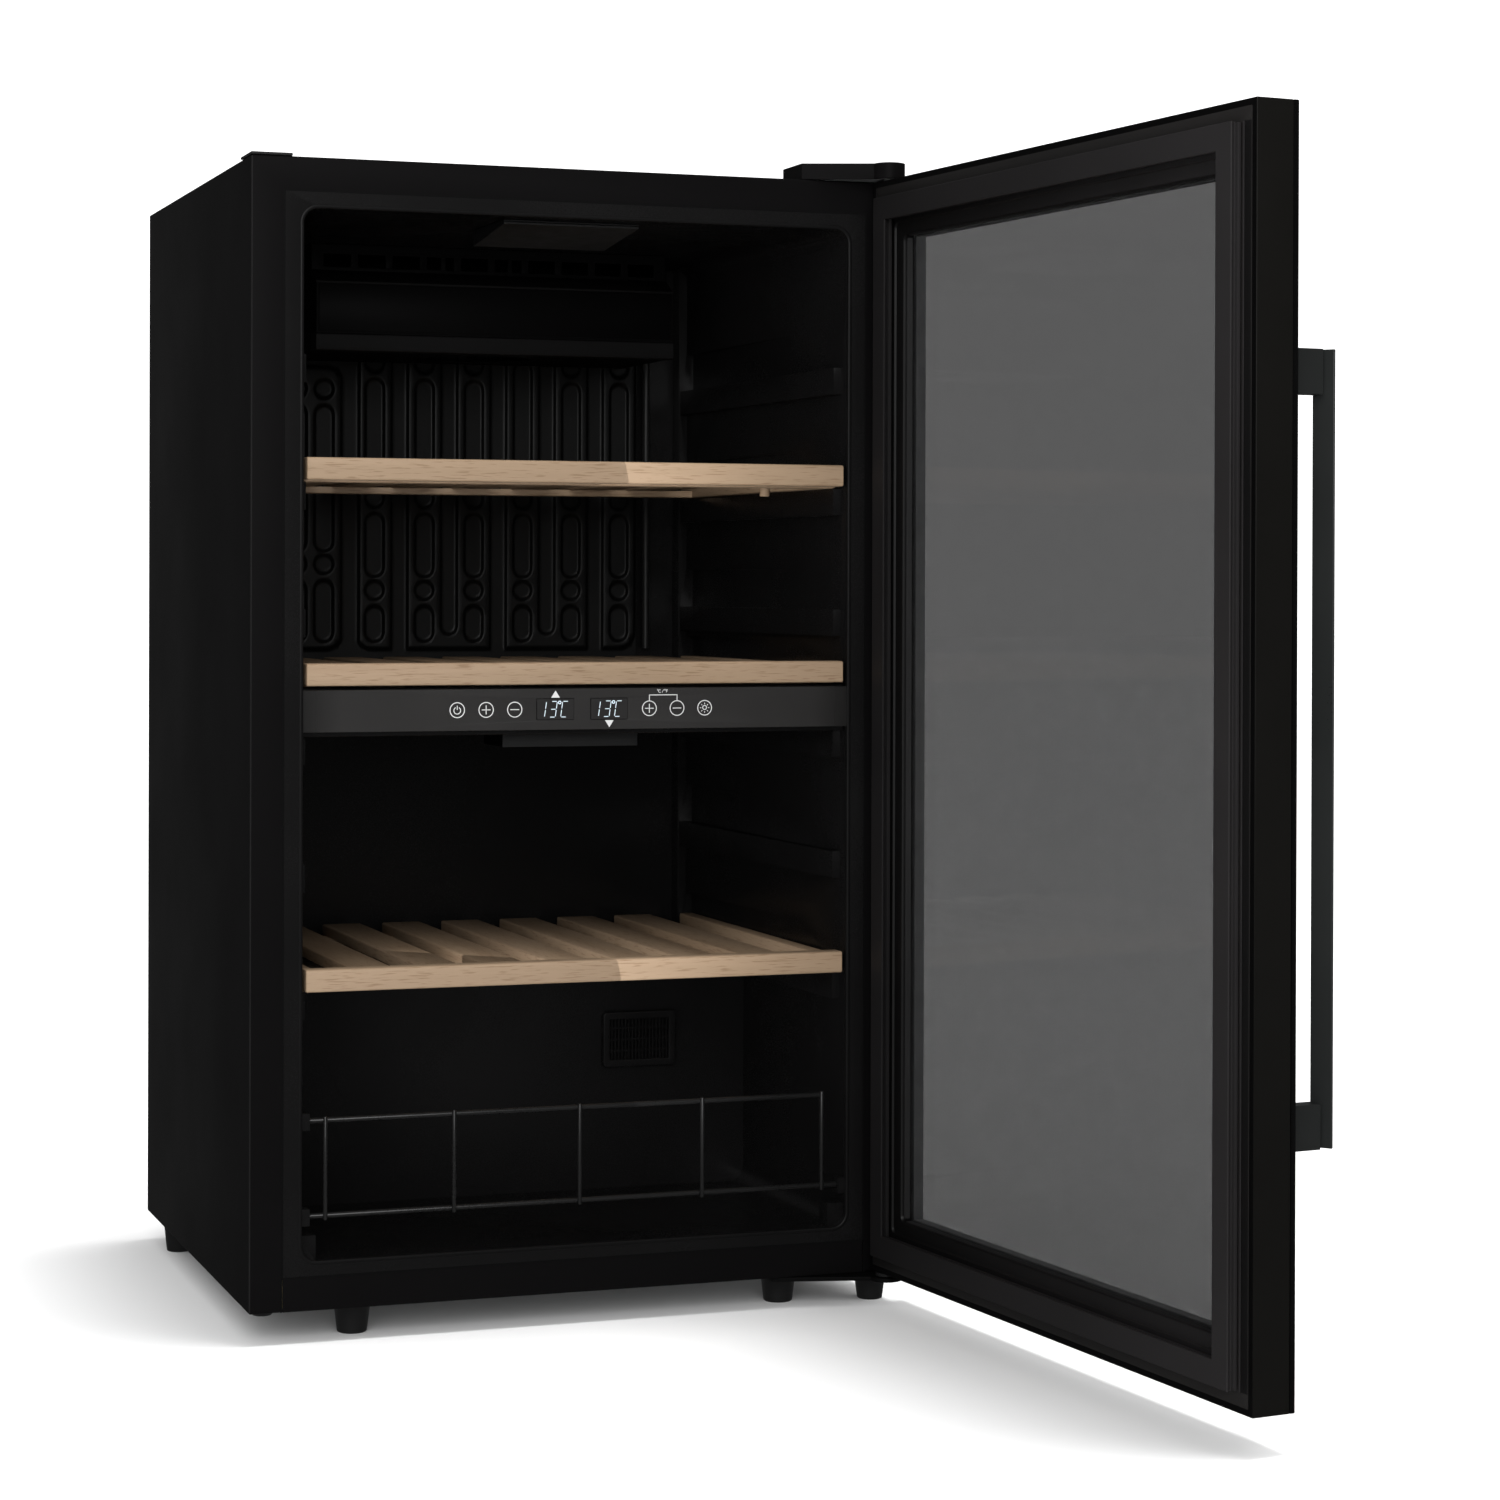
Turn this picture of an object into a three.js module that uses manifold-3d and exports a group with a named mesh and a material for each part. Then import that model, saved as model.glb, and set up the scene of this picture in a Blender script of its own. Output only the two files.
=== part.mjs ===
// Free-standing two-zone wine cooler: a steel cabinet foamed round a plastic liner, a glass door
// hung on the right, three sliding beech shelves, a wire bottle guard, and its cooling circuit.
import * as THREE from 'three';
import { mergeVertices } from 'three/addons/utils/BufferGeometryUtils.js';
import Module from 'manifold-3d';

const wasm = await Module();
wasm.setup();

// Millimetres. X runs to the right and Y to the back, seen from the front, and Z runs up.
// Until the last lines, X = 0 is the cabinet's middle, Y = 0 its front plane and Z = 0 the floor.
const GAP = 0.3; // between pieces that touch

const WIDTH = 492; // cabinet
const HEIGHT = 820;
const DEPTH = 412;
const FLOOR_GAP = 23; // from the floor to the cabinet's underside
const SHEET = 1; // thickness of the steel sheets
const FLANGE = 24; // front return of the outer wrap

const OPENING_HALF = 209; // half the width of the opening
const OPENING_BOTTOM = 57;
const OPENING_TOP = 808;
const OPENING_RADIUS = 12;
const LINER_WALL = 2;
const LINER_DEPTH = 365;
const LINER_BACK_HALF = 201; // half the width inside, at the back
const COLUMN_HALF = 194; // half the distance between the columns in the back corners
const COLUMN_FRONT = 350;
const HUMP_FRONT = 214; // the step that clears the compressor
const HUMP_TOP = 238;
const BAY_FRONT = 246; // the compressor's bay, from here to the back
const BAY_TOP = 205;

const LEDGE_LOWEST = 247.6; // top of the lowest pair of shelf ledges
const LEDGE_PITCH = 91.3;
const LEDGES = 6;
const LEDGE_HEIGHT = 20;
const LEDGE_FRONT = 16;
const LEDGE_PROUD = 6; // how far a ledge stands out of the side wall
const SLOT_HALF = 207; // the shelves slide in slots that are as wide as this at the back
const SLOT_HEIGHT = 31;

const DIVIDER_BOTTOM = 430.6;
const DIVIDER_TOP = 465.4;
const PANEL_BOTTOM = 434; // the control panel on the divider's front
const PANEL_TOP = 464;
const PANEL_DEPTH = 7;
const DISPLAY_X = 20.6;

const LIGHT_HALF = 52;

const FAN_BOX_HALF = 147;
const FAN_BOX_BOTTOM = 723;
const FAN_BOX_FRONT = 230;
const FAN_BOX_BACK = 360;
const FAN_X = 0;
const FAN_Y = 300;
const FAN_BOTTOM = 733;
const FAN_RADIUS = 44;

const PLATE_Y = 360.8; // front of the upper evaporator
const COVER_X = 113.5; // middle of the sensor cover
const COVER_Z = 176;

const SHELF_RAIL_BOTTOMS = { upper: 614, middle: 467, lower: 249 };
const RAIL_HALF = 205;
const RAIL_HEIGHT = 16;
const RAIL_DEPTH = 15.6;
const SHELF_HALF = 204.5;
const SHELF_BACK = 340;
const SLAT_WIDTH = 32;
const SLAT_PITCH = 50;

const GUARD_Y = 7;
const GUARD_LOWER = 89;
const GUARD_UPPER = 157;
const GUARD_SPREAD = 95; // between the guard's upright wires
const GUARD_WIRE = 2; // radius

const DOOR_BOTTOM = 26;
const DOOR_TOP = 842;
const DOOR_INNER = -9; // the door when closed, from its inner face...
const DOOR_FRAME_FRONT = -36.7;
const DOOR_FRONT = -41; // ...to the front of its front pane
const DOOR_BORDER = 43;
const DOOR_SIDE = 12; // width of the metal frame round the inner plastic one
const DOOR_ANGLE = 96.3; // how far it stands open, in degrees
const PANE_INNER = -19;
const PANE_FRONT = -37;
const REBATE = 8;
const GASKET_SIDE = 15.3; // from the door's side edges
const GASKET_END = 13.7; // from its top and bottom
const GASKET_WIDTH = 17.4;
const GASKET_FACE = -0.5;

const PIN_X = WIDTH / 2 - 12;
const PIN_Y = -16;
const PIN_RADIUS = 4;
const PIN_HOLE = 4.7;
const PIN_REACH = 13; // how far each pin goes into the door
const PIN_BLOCK = 18; // height of the blocks that hold the pins

const HANDLE_X = -WIDTH / 2 + 22;
const HANDLE_WIDTH = 12;
const HANDLE_THICK = 10;
const HANDLE_STAND = 45;
const HANDLE_BOTTOM = 184;
const HANDLE_TOP = 690;
const BRACKET_HEIGHT = 29;

const CABINET_BOTTOM = FLOOR_GAP;
const CABINET_TOP = FLOOR_GAP + HEIGHT;
const SIDE = WIDTH / 2;
const STUD_RADIUS = 4;

const steel = look(0x141414, 0.45, 0.3);
const zinc = look(0x9a9c9e, 0.4, 0.8);
const linerPlastic = look(0x232325, 0.35);
const blackPlastic = look(0x18181a, 0.5);
const panelPlastic = look(0x323130, 0.3);
const smokedDisplay = look(0x0c0c0e, 0.1);
const boardGreen = look(0x1d4a2c, 0.6);
const lensPlastic = look(0xc9ced4, 0.25);
const foam = look(0xe0cf96, 0.9);
const aluminium = look(0x83878a, 0.4, 0.7);
const paintedMetal = look(0x161514, 0.4, 0.4);
const doorPlastic = look(0x212021, 0.45);
const glass = look(0x20282b, 0.05);
const spacerMetal = look(0x6f7476, 0.35, 0.8);
const rubber = look(0x1b1a1b, 0.8);
const handleMetal = look(0x2a2d2d, 0.3, 0.8);
const beech = look(0xc8aa8c, 0.6);
const copper = look(0xb0704a, 0.35, 0.9);
const chromedWire = look(0x8d8f90, 0.25, 0.9);

function look(color, roughness, metalness = 0) {
  return new THREE.MeshStandardMaterial({ color, roughness, metalness });
}

// --- Solids from three.js geometries ---

function solidOf(geometry) {
  const bare = geometry.clone();
  bare.deleteAttribute('normal');
  bare.deleteAttribute('uv');
  const merged = mergeVertices(bare, 1e-4);
  return new wasm.Manifold(new wasm.Mesh({
    numProp: 3,
    vertProperties: merged.attributes.position.array,
    triVerts: Uint32Array.from(merged.index.array),
  }));
}

function geometryOf(solid) {
  const mesh = solid.getMesh();
  const geometry = new THREE.BufferGeometry();
  geometry.setAttribute('position', new THREE.BufferAttribute(mesh.vertProperties, 3));
  geometry.setIndex(new THREE.BufferAttribute(mesh.triVerts, 1));
  geometry.computeVertexNormals();
  return geometry;
}

function join(...solids) {
  return solids.reduce((whole, solid) => whole.add(solid));
}

function cut(solid, ...tools) {
  return tools.reduce((rest, tool) => rest.subtract(tool), solid);
}

function block(x0, x1, y0, y1, z0, z1) {
  const geometry = new THREE.BoxGeometry(x1 - x0, y1 - y0, z1 - z0);
  geometry.translate((x0 + x1) / 2, (y0 + y1) / 2, (z0 + z1) / 2);
  return solidOf(geometry);
}

// A rod from one point to another; its radius may taper to a second one at the far end.
function rod(from, to, radius, sides = 16, endRadius = radius) {
  const a = new THREE.Vector3(...from);
  const b = new THREE.Vector3(...to);
  const along = b.clone().sub(a);
  const geometry = new THREE.CylinderGeometry(endRadius, radius, along.length(), sides);
  const turn = new THREE.Quaternion();
  turn.setFromUnitVectors(new THREE.Vector3(0, 1, 0), along.clone().normalize());
  geometry.applyQuaternion(turn);
  geometry.translate(...a.add(b).divideScalar(2).toArray());
  return solidOf(geometry);
}

// A bent wire or tube: a rod for each straight, and a ball at each bend.
function pipe(points, radius, sides = 8) {
  let whole = rod(points[0], points[1], radius, sides);
  for (let i = 1; i < points.length - 1; i += 1) {
    const ball = new THREE.SphereGeometry(radius * 1.01, sides, sides / 2);
    ball.translate(...points[i]);
    whole = join(whole, solidOf(ball), rod(points[i], points[i + 1], radius, sides));
  }
  return whole;
}

function roundedRectangle(x0, x1, z0, z1, radius) {
  const shape = new THREE.Shape();
  shape.moveTo(x0 + radius, z0);
  shape.absarc(x1 - radius, z0 + radius, radius, -Math.PI / 2, 0);
  shape.absarc(x1 - radius, z1 - radius, radius, 0, Math.PI / 2);
  shape.absarc(x0 + radius, z1 - radius, radius, Math.PI / 2, Math.PI);
  shape.absarc(x0 + radius, z0 + radius, radius, Math.PI, Math.PI * 1.5);
  return shape;
}

// A shape drawn in X and Z, extruded along Y.
function deep(shape, y0, y1, curveSegments = 5) {
  const geometry = new THREE.ExtrudeGeometry(shape, {
    depth: y1 - y0,
    bevelEnabled: false,
    curveSegments,
  });
  geometry.rotateX(Math.PI / 2);
  geometry.translate(0, y1, 0);
  return geometry;
}

// A shape drawn in Y and Z, extruded along X.
function wide(points, x0, x1) {
  const shape = new THREE.Shape(points.map(([y, z]) => new THREE.Vector2(y, z)));
  const geometry = new THREE.ExtrudeGeometry(shape, { depth: x1 - x0, bevelEnabled: false });
  const axes = new THREE.Matrix4().makeBasis(
    new THREE.Vector3(0, 1, 0),
    new THREE.Vector3(0, 0, 1),
    new THREE.Vector3(1, 0, 0),
  );
  geometry.applyMatrix4(axes);
  geometry.translate(x0, 0, 0);
  return solidOf(geometry);
}

// A shape drawn in X and Y, extruded along Z.
function high(shape, z0, z1, curveSegments = 6) {
  const geometry = new THREE.ExtrudeGeometry(shape, {
    depth: z1 - z0,
    bevelEnabled: false,
    curveSegments,
  });
  geometry.translate(0, 0, z0);
  return solidOf(geometry);
}

// A picture-frame ring standing in X and Z.
function ring(halfWidth, z0, z1, border, y0, y1) {
  return cut(
    block(-halfWidth, halfWidth, y0, y1, z0, z1),
    block(-halfWidth + border, halfWidth - border, y0 - 1, y1 + 1, z0 + border, z1 - border),
  );
}

// --- Cabinet ---

function outerWrap() {
  return cut(
    block(-SIDE, SIDE, 0, DEPTH, CABINET_BOTTOM, CABINET_TOP),
    block(-SIDE + SHEET, SIDE - SHEET, SHEET, DEPTH + 1, 0, CABINET_TOP - SHEET),
    block(-SIDE + FLANGE, SIDE - FLANGE, -1, DEPTH, 0, CABINET_TOP - FLANGE),
  );
}

function frontBottomRail() {
  const half = SIDE - FLANGE - GAP;
  return join(
    block(-half, half, 0, SHEET, CABINET_BOTTOM, CABINET_BOTTOM + FLANGE),
    block(-half, half, 0, 12, CABINET_BOTTOM, CABINET_BOTTOM + SHEET),
  );
}

function basePan() {
  const half = SIDE - SHEET - GAP;
  const bottom = CABINET_BOTTOM + SHEET + GAP;
  const pan = join(
    block(-half, half, SHEET + GAP, DEPTH - 1, bottom, bottom + 1.2),
    block(150, half, DEPTH - 2.2, DEPTH - 1, bottom, bottom + 40),
  );
  return cut(pan, ...feet.map(({ x, y }) => rod([x, y, 0], [x, y, 60], STUD_RADIUS + 0.6)));
}

// The inside of the liner, grown by the wall's thickness where its outside is wanted.
function pocket(grow, front) {
  const shape = roundedRectangle(
    -OPENING_HALF - grow,
    OPENING_HALF + grow,
    OPENING_BOTTOM - grow,
    OPENING_TOP + grow,
    OPENING_RADIUS + grow,
  );
  const geometry = deep(shape, front, LINER_DEPTH + grow);
  const place = geometry.attributes.position;
  const draft = (1 - LINER_BACK_HALF / OPENING_HALF) / LINER_DEPTH;
  for (let i = 0; i < place.count; i += 1) {
    place.setX(i, place.getX(i) * (1 - draft * place.getY(i)));
  }
  return cut(solidOf(geometry), block(-SIDE, SIDE, HUMP_FRONT + grow, DEPTH, 0, HUMP_TOP - grow));
}

function bothSides(makeBlock) {
  return [-1, 1].map((side) => makeBlock(side));
}

function sideBlock(side, inner, y0, y1, z0, z1) {
  const [x0, x1] = side > 0 ? [inner, SIDE] : [-SIDE, -inner];
  return block(x0, x1, y0, y1, z0, z1);
}

function ledgeTops() {
  return Array.from({ length: LEDGES }, (_, i) => LEDGE_LOWEST + i * LEDGE_PITCH);
}

function linerLedges(side) {
  return ledgeTops().map((top) => cut(
    sideBlock(side, 180, LEDGE_FRONT, COLUMN_FRONT + 1, top - LEDGE_HEIGHT, top),
    pocket(-LEDGE_PROUD, -1),
  ));
}

// The side walls draw in towards the back, so each shelf has a slot of even width above its
// ledges; the divider takes the place of one slot, and the middle shelf's is above it.
function withSlots(grow, front) {
  const bottoms = ledgeTops().filter((top) => Math.abs(top - DIVIDER_BOTTOM) > 1);
  const slots = [...bottoms, DIVIDER_TOP].map((z) => block(
    -SLOT_HALF - grow,
    SLOT_HALF + grow,
    LEDGE_FRONT - grow,
    COLUMN_FRONT + grow,
    z - grow,
    z + SLOT_HEIGHT + grow,
  ));
  return join(pocket(grow, front), ...slots);
}

function backColumn(side, grow) {
  return sideBlock(
    side,
    COLUMN_HALF - grow,
    COLUMN_FRONT - grow,
    LINER_DEPTH + 1,
    HUMP_TOP - 1,
    OPENING_TOP + 1,
  );
}

// The guard's upper rail ends at its last upright, so it needs no socket on the right.
function guardSockets(side) {
  const heights = side > 0 ? [GUARD_LOWER] : [GUARD_LOWER, GUARD_UPPER];
  return heights.map((z) => cut(
    sideBlock(side, 202, 1, 13, z - 6, z + 6),
    rod([side * 190, GUARD_Y, z], [side * 207.5, GUARD_Y, z], GUARD_WIRE + 0.6),
  ));
}

function innerLiner() {
  const half = SIDE - FLANGE - GAP;
  const flange = block(
    -half,
    half,
    0,
    LINER_WALL,
    CABINET_BOTTOM + FLANGE + GAP,
    CABINET_TOP - FLANGE - GAP,
  );
  const shell = cut(join(flange, withSlots(LINER_WALL, 0.5)), withSlots(0, -1));
  const within = pocket(LINER_WALL / 2, 0);
  const mouldings = bothSides((side) => [
    ...linerLedges(side),
    ...guardSockets(side),
    backColumn(side, 0),
    sideBlock(side, 196, 8, 24, OPENING_BOTTOM - 1, OPENING_BOTTOM + 18),
  ]).flat();
  return join(shell, ...mouldings.map((moulding) => moulding.intersect(within)));
}

function foamFilling() {
  const half = SIDE - SHEET - GAP;
  const bottom = CABINET_BOTTOM + SHEET + 1.2 + 2 * GAP;
  const back = DEPTH - 1.8;
  const filling = block(-half, half, LINER_WALL + GAP, back, bottom, CABINET_TOP - SHEET - GAP);
  return cut(
    filling,
    withSlots(LINER_WALL + GAP, 1),
    block(-SIDE, SIDE, BAY_FRONT - GAP, DEPTH, 0, BAY_TOP + SHEET + GAP),
    block(-150.3, 150.3, LINER_DEPTH, LINER_DEPTH + 4.4, 259.7, 420.3),
    ...feet.map(({ x, y }) => rod([x, y, 0], [x, y, 36], STUD_RADIUS + 1)),
  );
}

function bayShroud() {
  const half = SIDE - SHEET - GAP;
  const bottom = CABINET_BOTTOM + SHEET + 1.2 + 2 * GAP;
  return join(
    block(-half, half, BAY_FRONT, BAY_FRONT + SHEET, bottom, BAY_TOP + SHEET),
    block(-half, half, BAY_FRONT, DEPTH - 1.8, BAY_TOP, BAY_TOP + SHEET),
  );
}

function rearPanel() {
  const half = SIDE - SHEET - GAP;
  return block(-half, half, DEPTH - 1.5, DEPTH - 0.5, BAY_TOP - 2, CABINET_TOP - SHEET - GAP);
}

// --- Feet and hinges ---

const feet = [
  { name: 'front_left_foot', x: -164.5, y: 29, radius: 13.5, top: FLOOR_GAP },
  { name: 'front_right_foot', x: 164.5, y: 29, radius: 13.5, top: FLOOR_GAP },
  { name: 'hinge_foot', x: 234, y: 16, radius: 11.9, top: FLOOR_GAP - 3.3 },
  { name: 'rear_left_foot', x: -230, y: 356, radius: 12, top: FLOOR_GAP },
  { name: 'rear_right_foot', x: 230, y: 356, radius: 12, top: FLOOR_GAP },
];

function foot({ x, y, radius, top }) {
  return join(
    rod([x, y, 0], [x, y, top - GAP], radius * 0.8, 24, radius),
    rod([x, y, top - 1], [x, y, FLOOR_GAP + 11], STUD_RADIUS, 12),
  );
}

// The outline of a hinge plate: a strip along the cabinet's front that runs out to the pin.
function hingeOutline(left, right, back, nose) {
  const shape = new THREE.Shape();
  shape.moveTo(left, back);
  shape.lineTo(left, 3);
  shape.lineTo(PIN_X - nose, PIN_Y);
  shape.absarc(PIN_X, PIN_Y, nose, Math.PI, 2 * Math.PI);
  shape.lineTo(right, PIN_Y);
  shape.lineTo(right, back);
  return shape;
}

function topHinge() {
  const bottom = CABINET_TOP + GAP;
  const plate = high(hingeOutline(182, PIN_X + 10, 34, 10), bottom, bottom + 3);
  const pin = rod([PIN_X, PIN_Y, DOOR_TOP - PIN_REACH], [PIN_X, PIN_Y, bottom + 2], PIN_RADIUS);
  return join(plate, pin);
}

function topHingeCover() {
  const bottom = CABINET_TOP + GAP;
  const outer = high(hingeOutline(171, SIDE, 42, SIDE - PIN_X), bottom, bottom + 12);
  const inner = high(hingeOutline(181, PIN_X + 10.4, 34.6, 10.4), bottom - 1, bottom + 10);
  return cut(outer, inner);
}

function bottomHinge() {
  const top = FLOOR_GAP - GAP;
  const plate = high(hingeOutline(150, SIDE, 60, SIDE - PIN_X), top - 3, top);
  const { x, y } = feet[2];
  const pin = rod([PIN_X, PIN_Y, top - 1], [PIN_X, PIN_Y, DOOR_BOTTOM + PIN_REACH], PIN_RADIUS);
  const front = feet[1];
  return cut(
    join(plate, pin),
    rod([x, y, 0], [x, y, top + 1], STUD_RADIUS + 0.6),
    rod([front.x, front.y, 0], [front.x, front.y, top + 1], front.radius + 1, 24),
  );
}

function hingeBush() {
  return cut(
    rod([PIN_X, PIN_Y, FLOOR_GAP], [PIN_X, PIN_Y, DOOR_BOTTOM - GAP], 8, 20),
    rod([PIN_X, PIN_Y, 0], [PIN_X, PIN_Y, 60], PIN_RADIUS + 0.4),
  );
}

function topLeftCap() {
  const shape = new THREE.Shape();
  shape.moveTo(-SIDE, 0.5);
  shape.lineTo(-SIDE + 30, 0.5);
  shape.absarc(-SIDE + 26, 30, 8, 0, Math.PI / 2);
  shape.lineTo(-SIDE, 38);
  return high(shape, CABINET_TOP + GAP, CABINET_TOP + GAP + 2);
}

function bottomLeftPlug() {
  const top = FLOOR_GAP - GAP;
  return rod([-PIN_X, 12, top], [-PIN_X, 12, top - 2.5], 8, 16, 7);
}

// --- Inside the cabinet ---

// A hollow moulding, open at the back, with a recess for the control board in front.
function zoneDivider() {
  const wall = 3;
  const slab = block(-SIDE, SIDE, PANEL_DEPTH + 1, 356, DIVIDER_BOTTOM, DIVIDER_TOP);
  return cut(
    slab.intersect(pocket(-0.6, 0)),
    block(-116, 116, 0, 22, PANEL_BOTTOM + 4, PANEL_TOP - 4),
    block(-190, 190, 25, 360, DIVIDER_BOTTOM + wall, DIVIDER_TOP - wall),
    ...bothSides((side) => backColumn(side, GAP)),
  );
}

function controlPanel() {
  const half = OPENING_HALF - 0.8;
  const fascia = block(-half, half, 0.6, PANEL_DEPTH + 0.6, PANEL_BOTTOM, PANEL_TOP);
  const windows = [-DISPLAY_X, DISPLAY_X].map((x) => displayBlock(x, GAP));
  return cut(fascia, ...windows);
}

function displayBlock(x, grow) {
  const z = (PANEL_BOTTOM + PANEL_TOP) / 2;
  return block(x - 14 - grow, x + 14 + grow, 0.6 - grow, 2.2 + grow, z - 7.5 - grow, z + 7.5 + grow);
}

function controlBoard() {
  return block(-112, 112, 12, 13.6, PANEL_BOTTOM + 5, PANEL_TOP - 5);
}

// The ceiling light hangs down further towards the back; its lens is the sloping underside.
function ceilingWedge(drop, thickness) {
  const top = OPENING_TOP - GAP - drop;
  return wide(
    [[30, top - 1.5], [115, top - 10], [115, top - 10 + thickness], [30, top - 1.5 + thickness]],
    -LIGHT_HALF,
    LIGHT_HALF,
  );
}

function upperLightHousing() {
  const top = OPENING_TOP - GAP;
  return wide([[30, top - 1.2], [115, top - 9.7], [115, top], [30, top]], -LIGHT_HALF, LIGHT_HALF);
}

function upperLightLens() {
  return ceilingWedge(1.8, 1.6);
}

function lowerLightHousing() {
  const top = DIVIDER_BOTTOM - GAP;
  return block(-LIGHT_HALF, LIGHT_HALF, 32, 82, top - 10, top);
}

function lowerLightLens() {
  const top = DIVIDER_BOTTOM - GAP;
  return block(-LIGHT_HALF, LIGHT_HALF, 30, 31.7, top - 10, top);
}

// The fan box in section: a sloping lip, a tall face, then a ledge under its air outlets.
function fanBoxProfile(wall, back) {
  const top = OPENING_TOP - GAP - wall;
  const bottom = FAN_BOX_BOTTOM + wall;
  const front = FAN_BOX_FRONT + wall;
  return [
    [back, bottom],
    [front + 14, bottom],
    [front, FAN_BOX_BOTTOM + 13 + wall / 2],
    [front, 776 - wall / 2],
    [front + 18, 786 - wall / 2],
    [front + 18, top],
    [back, top],
  ];
}

function fanBox() {
  const wall = 2;
  const half = FAN_BOX_HALF;
  const outer = wide(fanBoxProfile(0, FAN_BOX_BACK), -half, half);
  const inner = wide(fanBoxProfile(wall, FAN_BOX_BACK + 1), -half + wall, half - wall);
  const outlets = [];
  for (let x = -126; x <= 126; x += 28) {
    outlets.push(block(x - 11, x + 11, FAN_BOX_FRONT, FAN_BOX_FRONT + 30, 790, 800));
  }
  const intake = rod([FAN_X, FAN_Y, 700], [FAN_X, FAN_Y, 740], FAN_RADIUS + 3, 24);
  return cut(outer, inner, intake, ...outlets);
}

function fanMotor() {
  const top = OPENING_TOP - 2 - 2 * GAP;
  return join(
    rod([FAN_X, FAN_Y, 751], [FAN_X, FAN_Y, 768], 18, 20),
    block(FAN_X - 30, FAN_X + 30, FAN_Y - 8, FAN_Y + 8, 767, 772),
    block(FAN_X - 30, FAN_X - 26, FAN_Y - 8, FAN_Y + 8, 767, top),
    block(FAN_X + 26, FAN_X + 30, FAN_Y - 8, FAN_Y + 8, 767, top),
  );
}

// Its own frame stands on the axle.
function fanRotor() {
  const hub = rod([0, 0, 0], [0, 0, 17], 15, 20);
  const blades = [];
  const count = 5;
  for (let i = 0; i < count; i += 1) {
    const blade = new THREE.BoxGeometry(FAN_RADIUS - 13, 22, 1.4);
    blade.rotateX(THREE.MathUtils.degToRad(32));
    blade.translate(13 + (FAN_RADIUS - 13) / 2, 0, 8.5);
    blade.rotateZ((i * 2 * Math.PI) / count);
    blades.push(solidOf(blade));
  }
  return join(hub, ...blades);
}

function evaporatorPlate() {
  return block(-160, 160, PLATE_Y, PLATE_Y + 1.5, 478, 800);
}

function evaporatorLine() {
  const y = PLATE_Y - 4;
  return pipe([[167, y, 486], [167, y, 728], [151, y, 746]], 3);
}

function lowerEvaporator() {
  const front = LINER_DEPTH + LINER_WALL + GAP;
  return block(-150, 150, front, front + 1.5, 260, 420);
}

function sensorCover() {
  const back = HUMP_FRONT - GAP;
  const shell = cut(
    block(COVER_X - 30.5, COVER_X + 30.5, back - 6, back, COVER_Z - 22, COVER_Z + 22),
    block(COVER_X - 29, COVER_X + 29, back - 4.6, back + 1, COVER_Z - 20.5, COVER_Z + 20.5),
  );
  const slots = [];
  for (let i = -5; i <= 5; i += 1) {
    const x = COVER_X + 4 + i * 3.6;
    slots.push(block(x - 0.9, x + 0.9, back - 7, back - 3, COVER_Z - 15, COVER_Z + 15));
  }
  return cut(shell, ...slots);
}

function temperatureSensor() {
  const y = HUMP_FRONT - 2.6;
  return rod([COVER_X - 24, y, COVER_Z - 12], [COVER_X - 24, y, COVER_Z + 12], 1.8, 12);
}

function bottleGuard() {
  const half = 2 * GUARD_SPREAD;
  const rails = [
    rod([-206, GUARD_Y, GUARD_LOWER], [206, GUARD_Y, GUARD_LOWER], GUARD_WIRE, 8),
    rod([-206, GUARD_Y, GUARD_UPPER], [half + 2, GUARD_Y, GUARD_UPPER], GUARD_WIRE, 8),
  ];
  const uprights = [];
  for (let x = -half; x <= half; x += GUARD_SPREAD) {
    const y = GUARD_Y - 2.6;
    uprights.push(rod([x, y, GUARD_LOWER - 3], [x, y, GUARD_UPPER + 3], 1.6, 8));
  }
  return join(...rails, ...uprights);
}

// --- Shelves ---

function shelfRail(bottom) {
  const shape = roundedRectangle(-RAIL_HALF, RAIL_HALF, bottom, bottom + RAIL_HEIGHT, 2.5);
  return solidOf(deep(shape, 0.6, 0.6 + RAIL_DEPTH, 2));
}

// Slats run from front to back, nailed on two battens between the side runners.
function shelfFrame(railBottom) {
  const bottom = railBottom - 1;
  const front = 0.6 + RAIL_DEPTH + GAP;
  const slats = [];
  for (let i = -3; i <= 3; i += 1) {
    const x = i * SLAT_PITCH;
    slats.push(block(x - SLAT_WIDTH / 2, x + SLAT_WIDTH / 2, front, SHELF_BACK, bottom + 5, bottom + 14));
  }
  const battens = [[front, front + 22], [SHELF_BACK - 30, SHELF_BACK - 8]].map(
    ([y0, y1]) => block(-SHELF_HALF + 1, SHELF_HALF - 1, y0, y1, bottom, bottom + 6),
  );
  const runners = bothSides((side) => {
    const x = side * (SHELF_HALF - 6);
    return block(x - 6, x + 6, front, SHELF_BACK, bottom, bottom + 14);
  });
  return join(...slats, ...battens, ...runners);
}

// --- Cooling machinery in the rear bay ---

const compressorX = -70;
const compressorY = 330;

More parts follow.
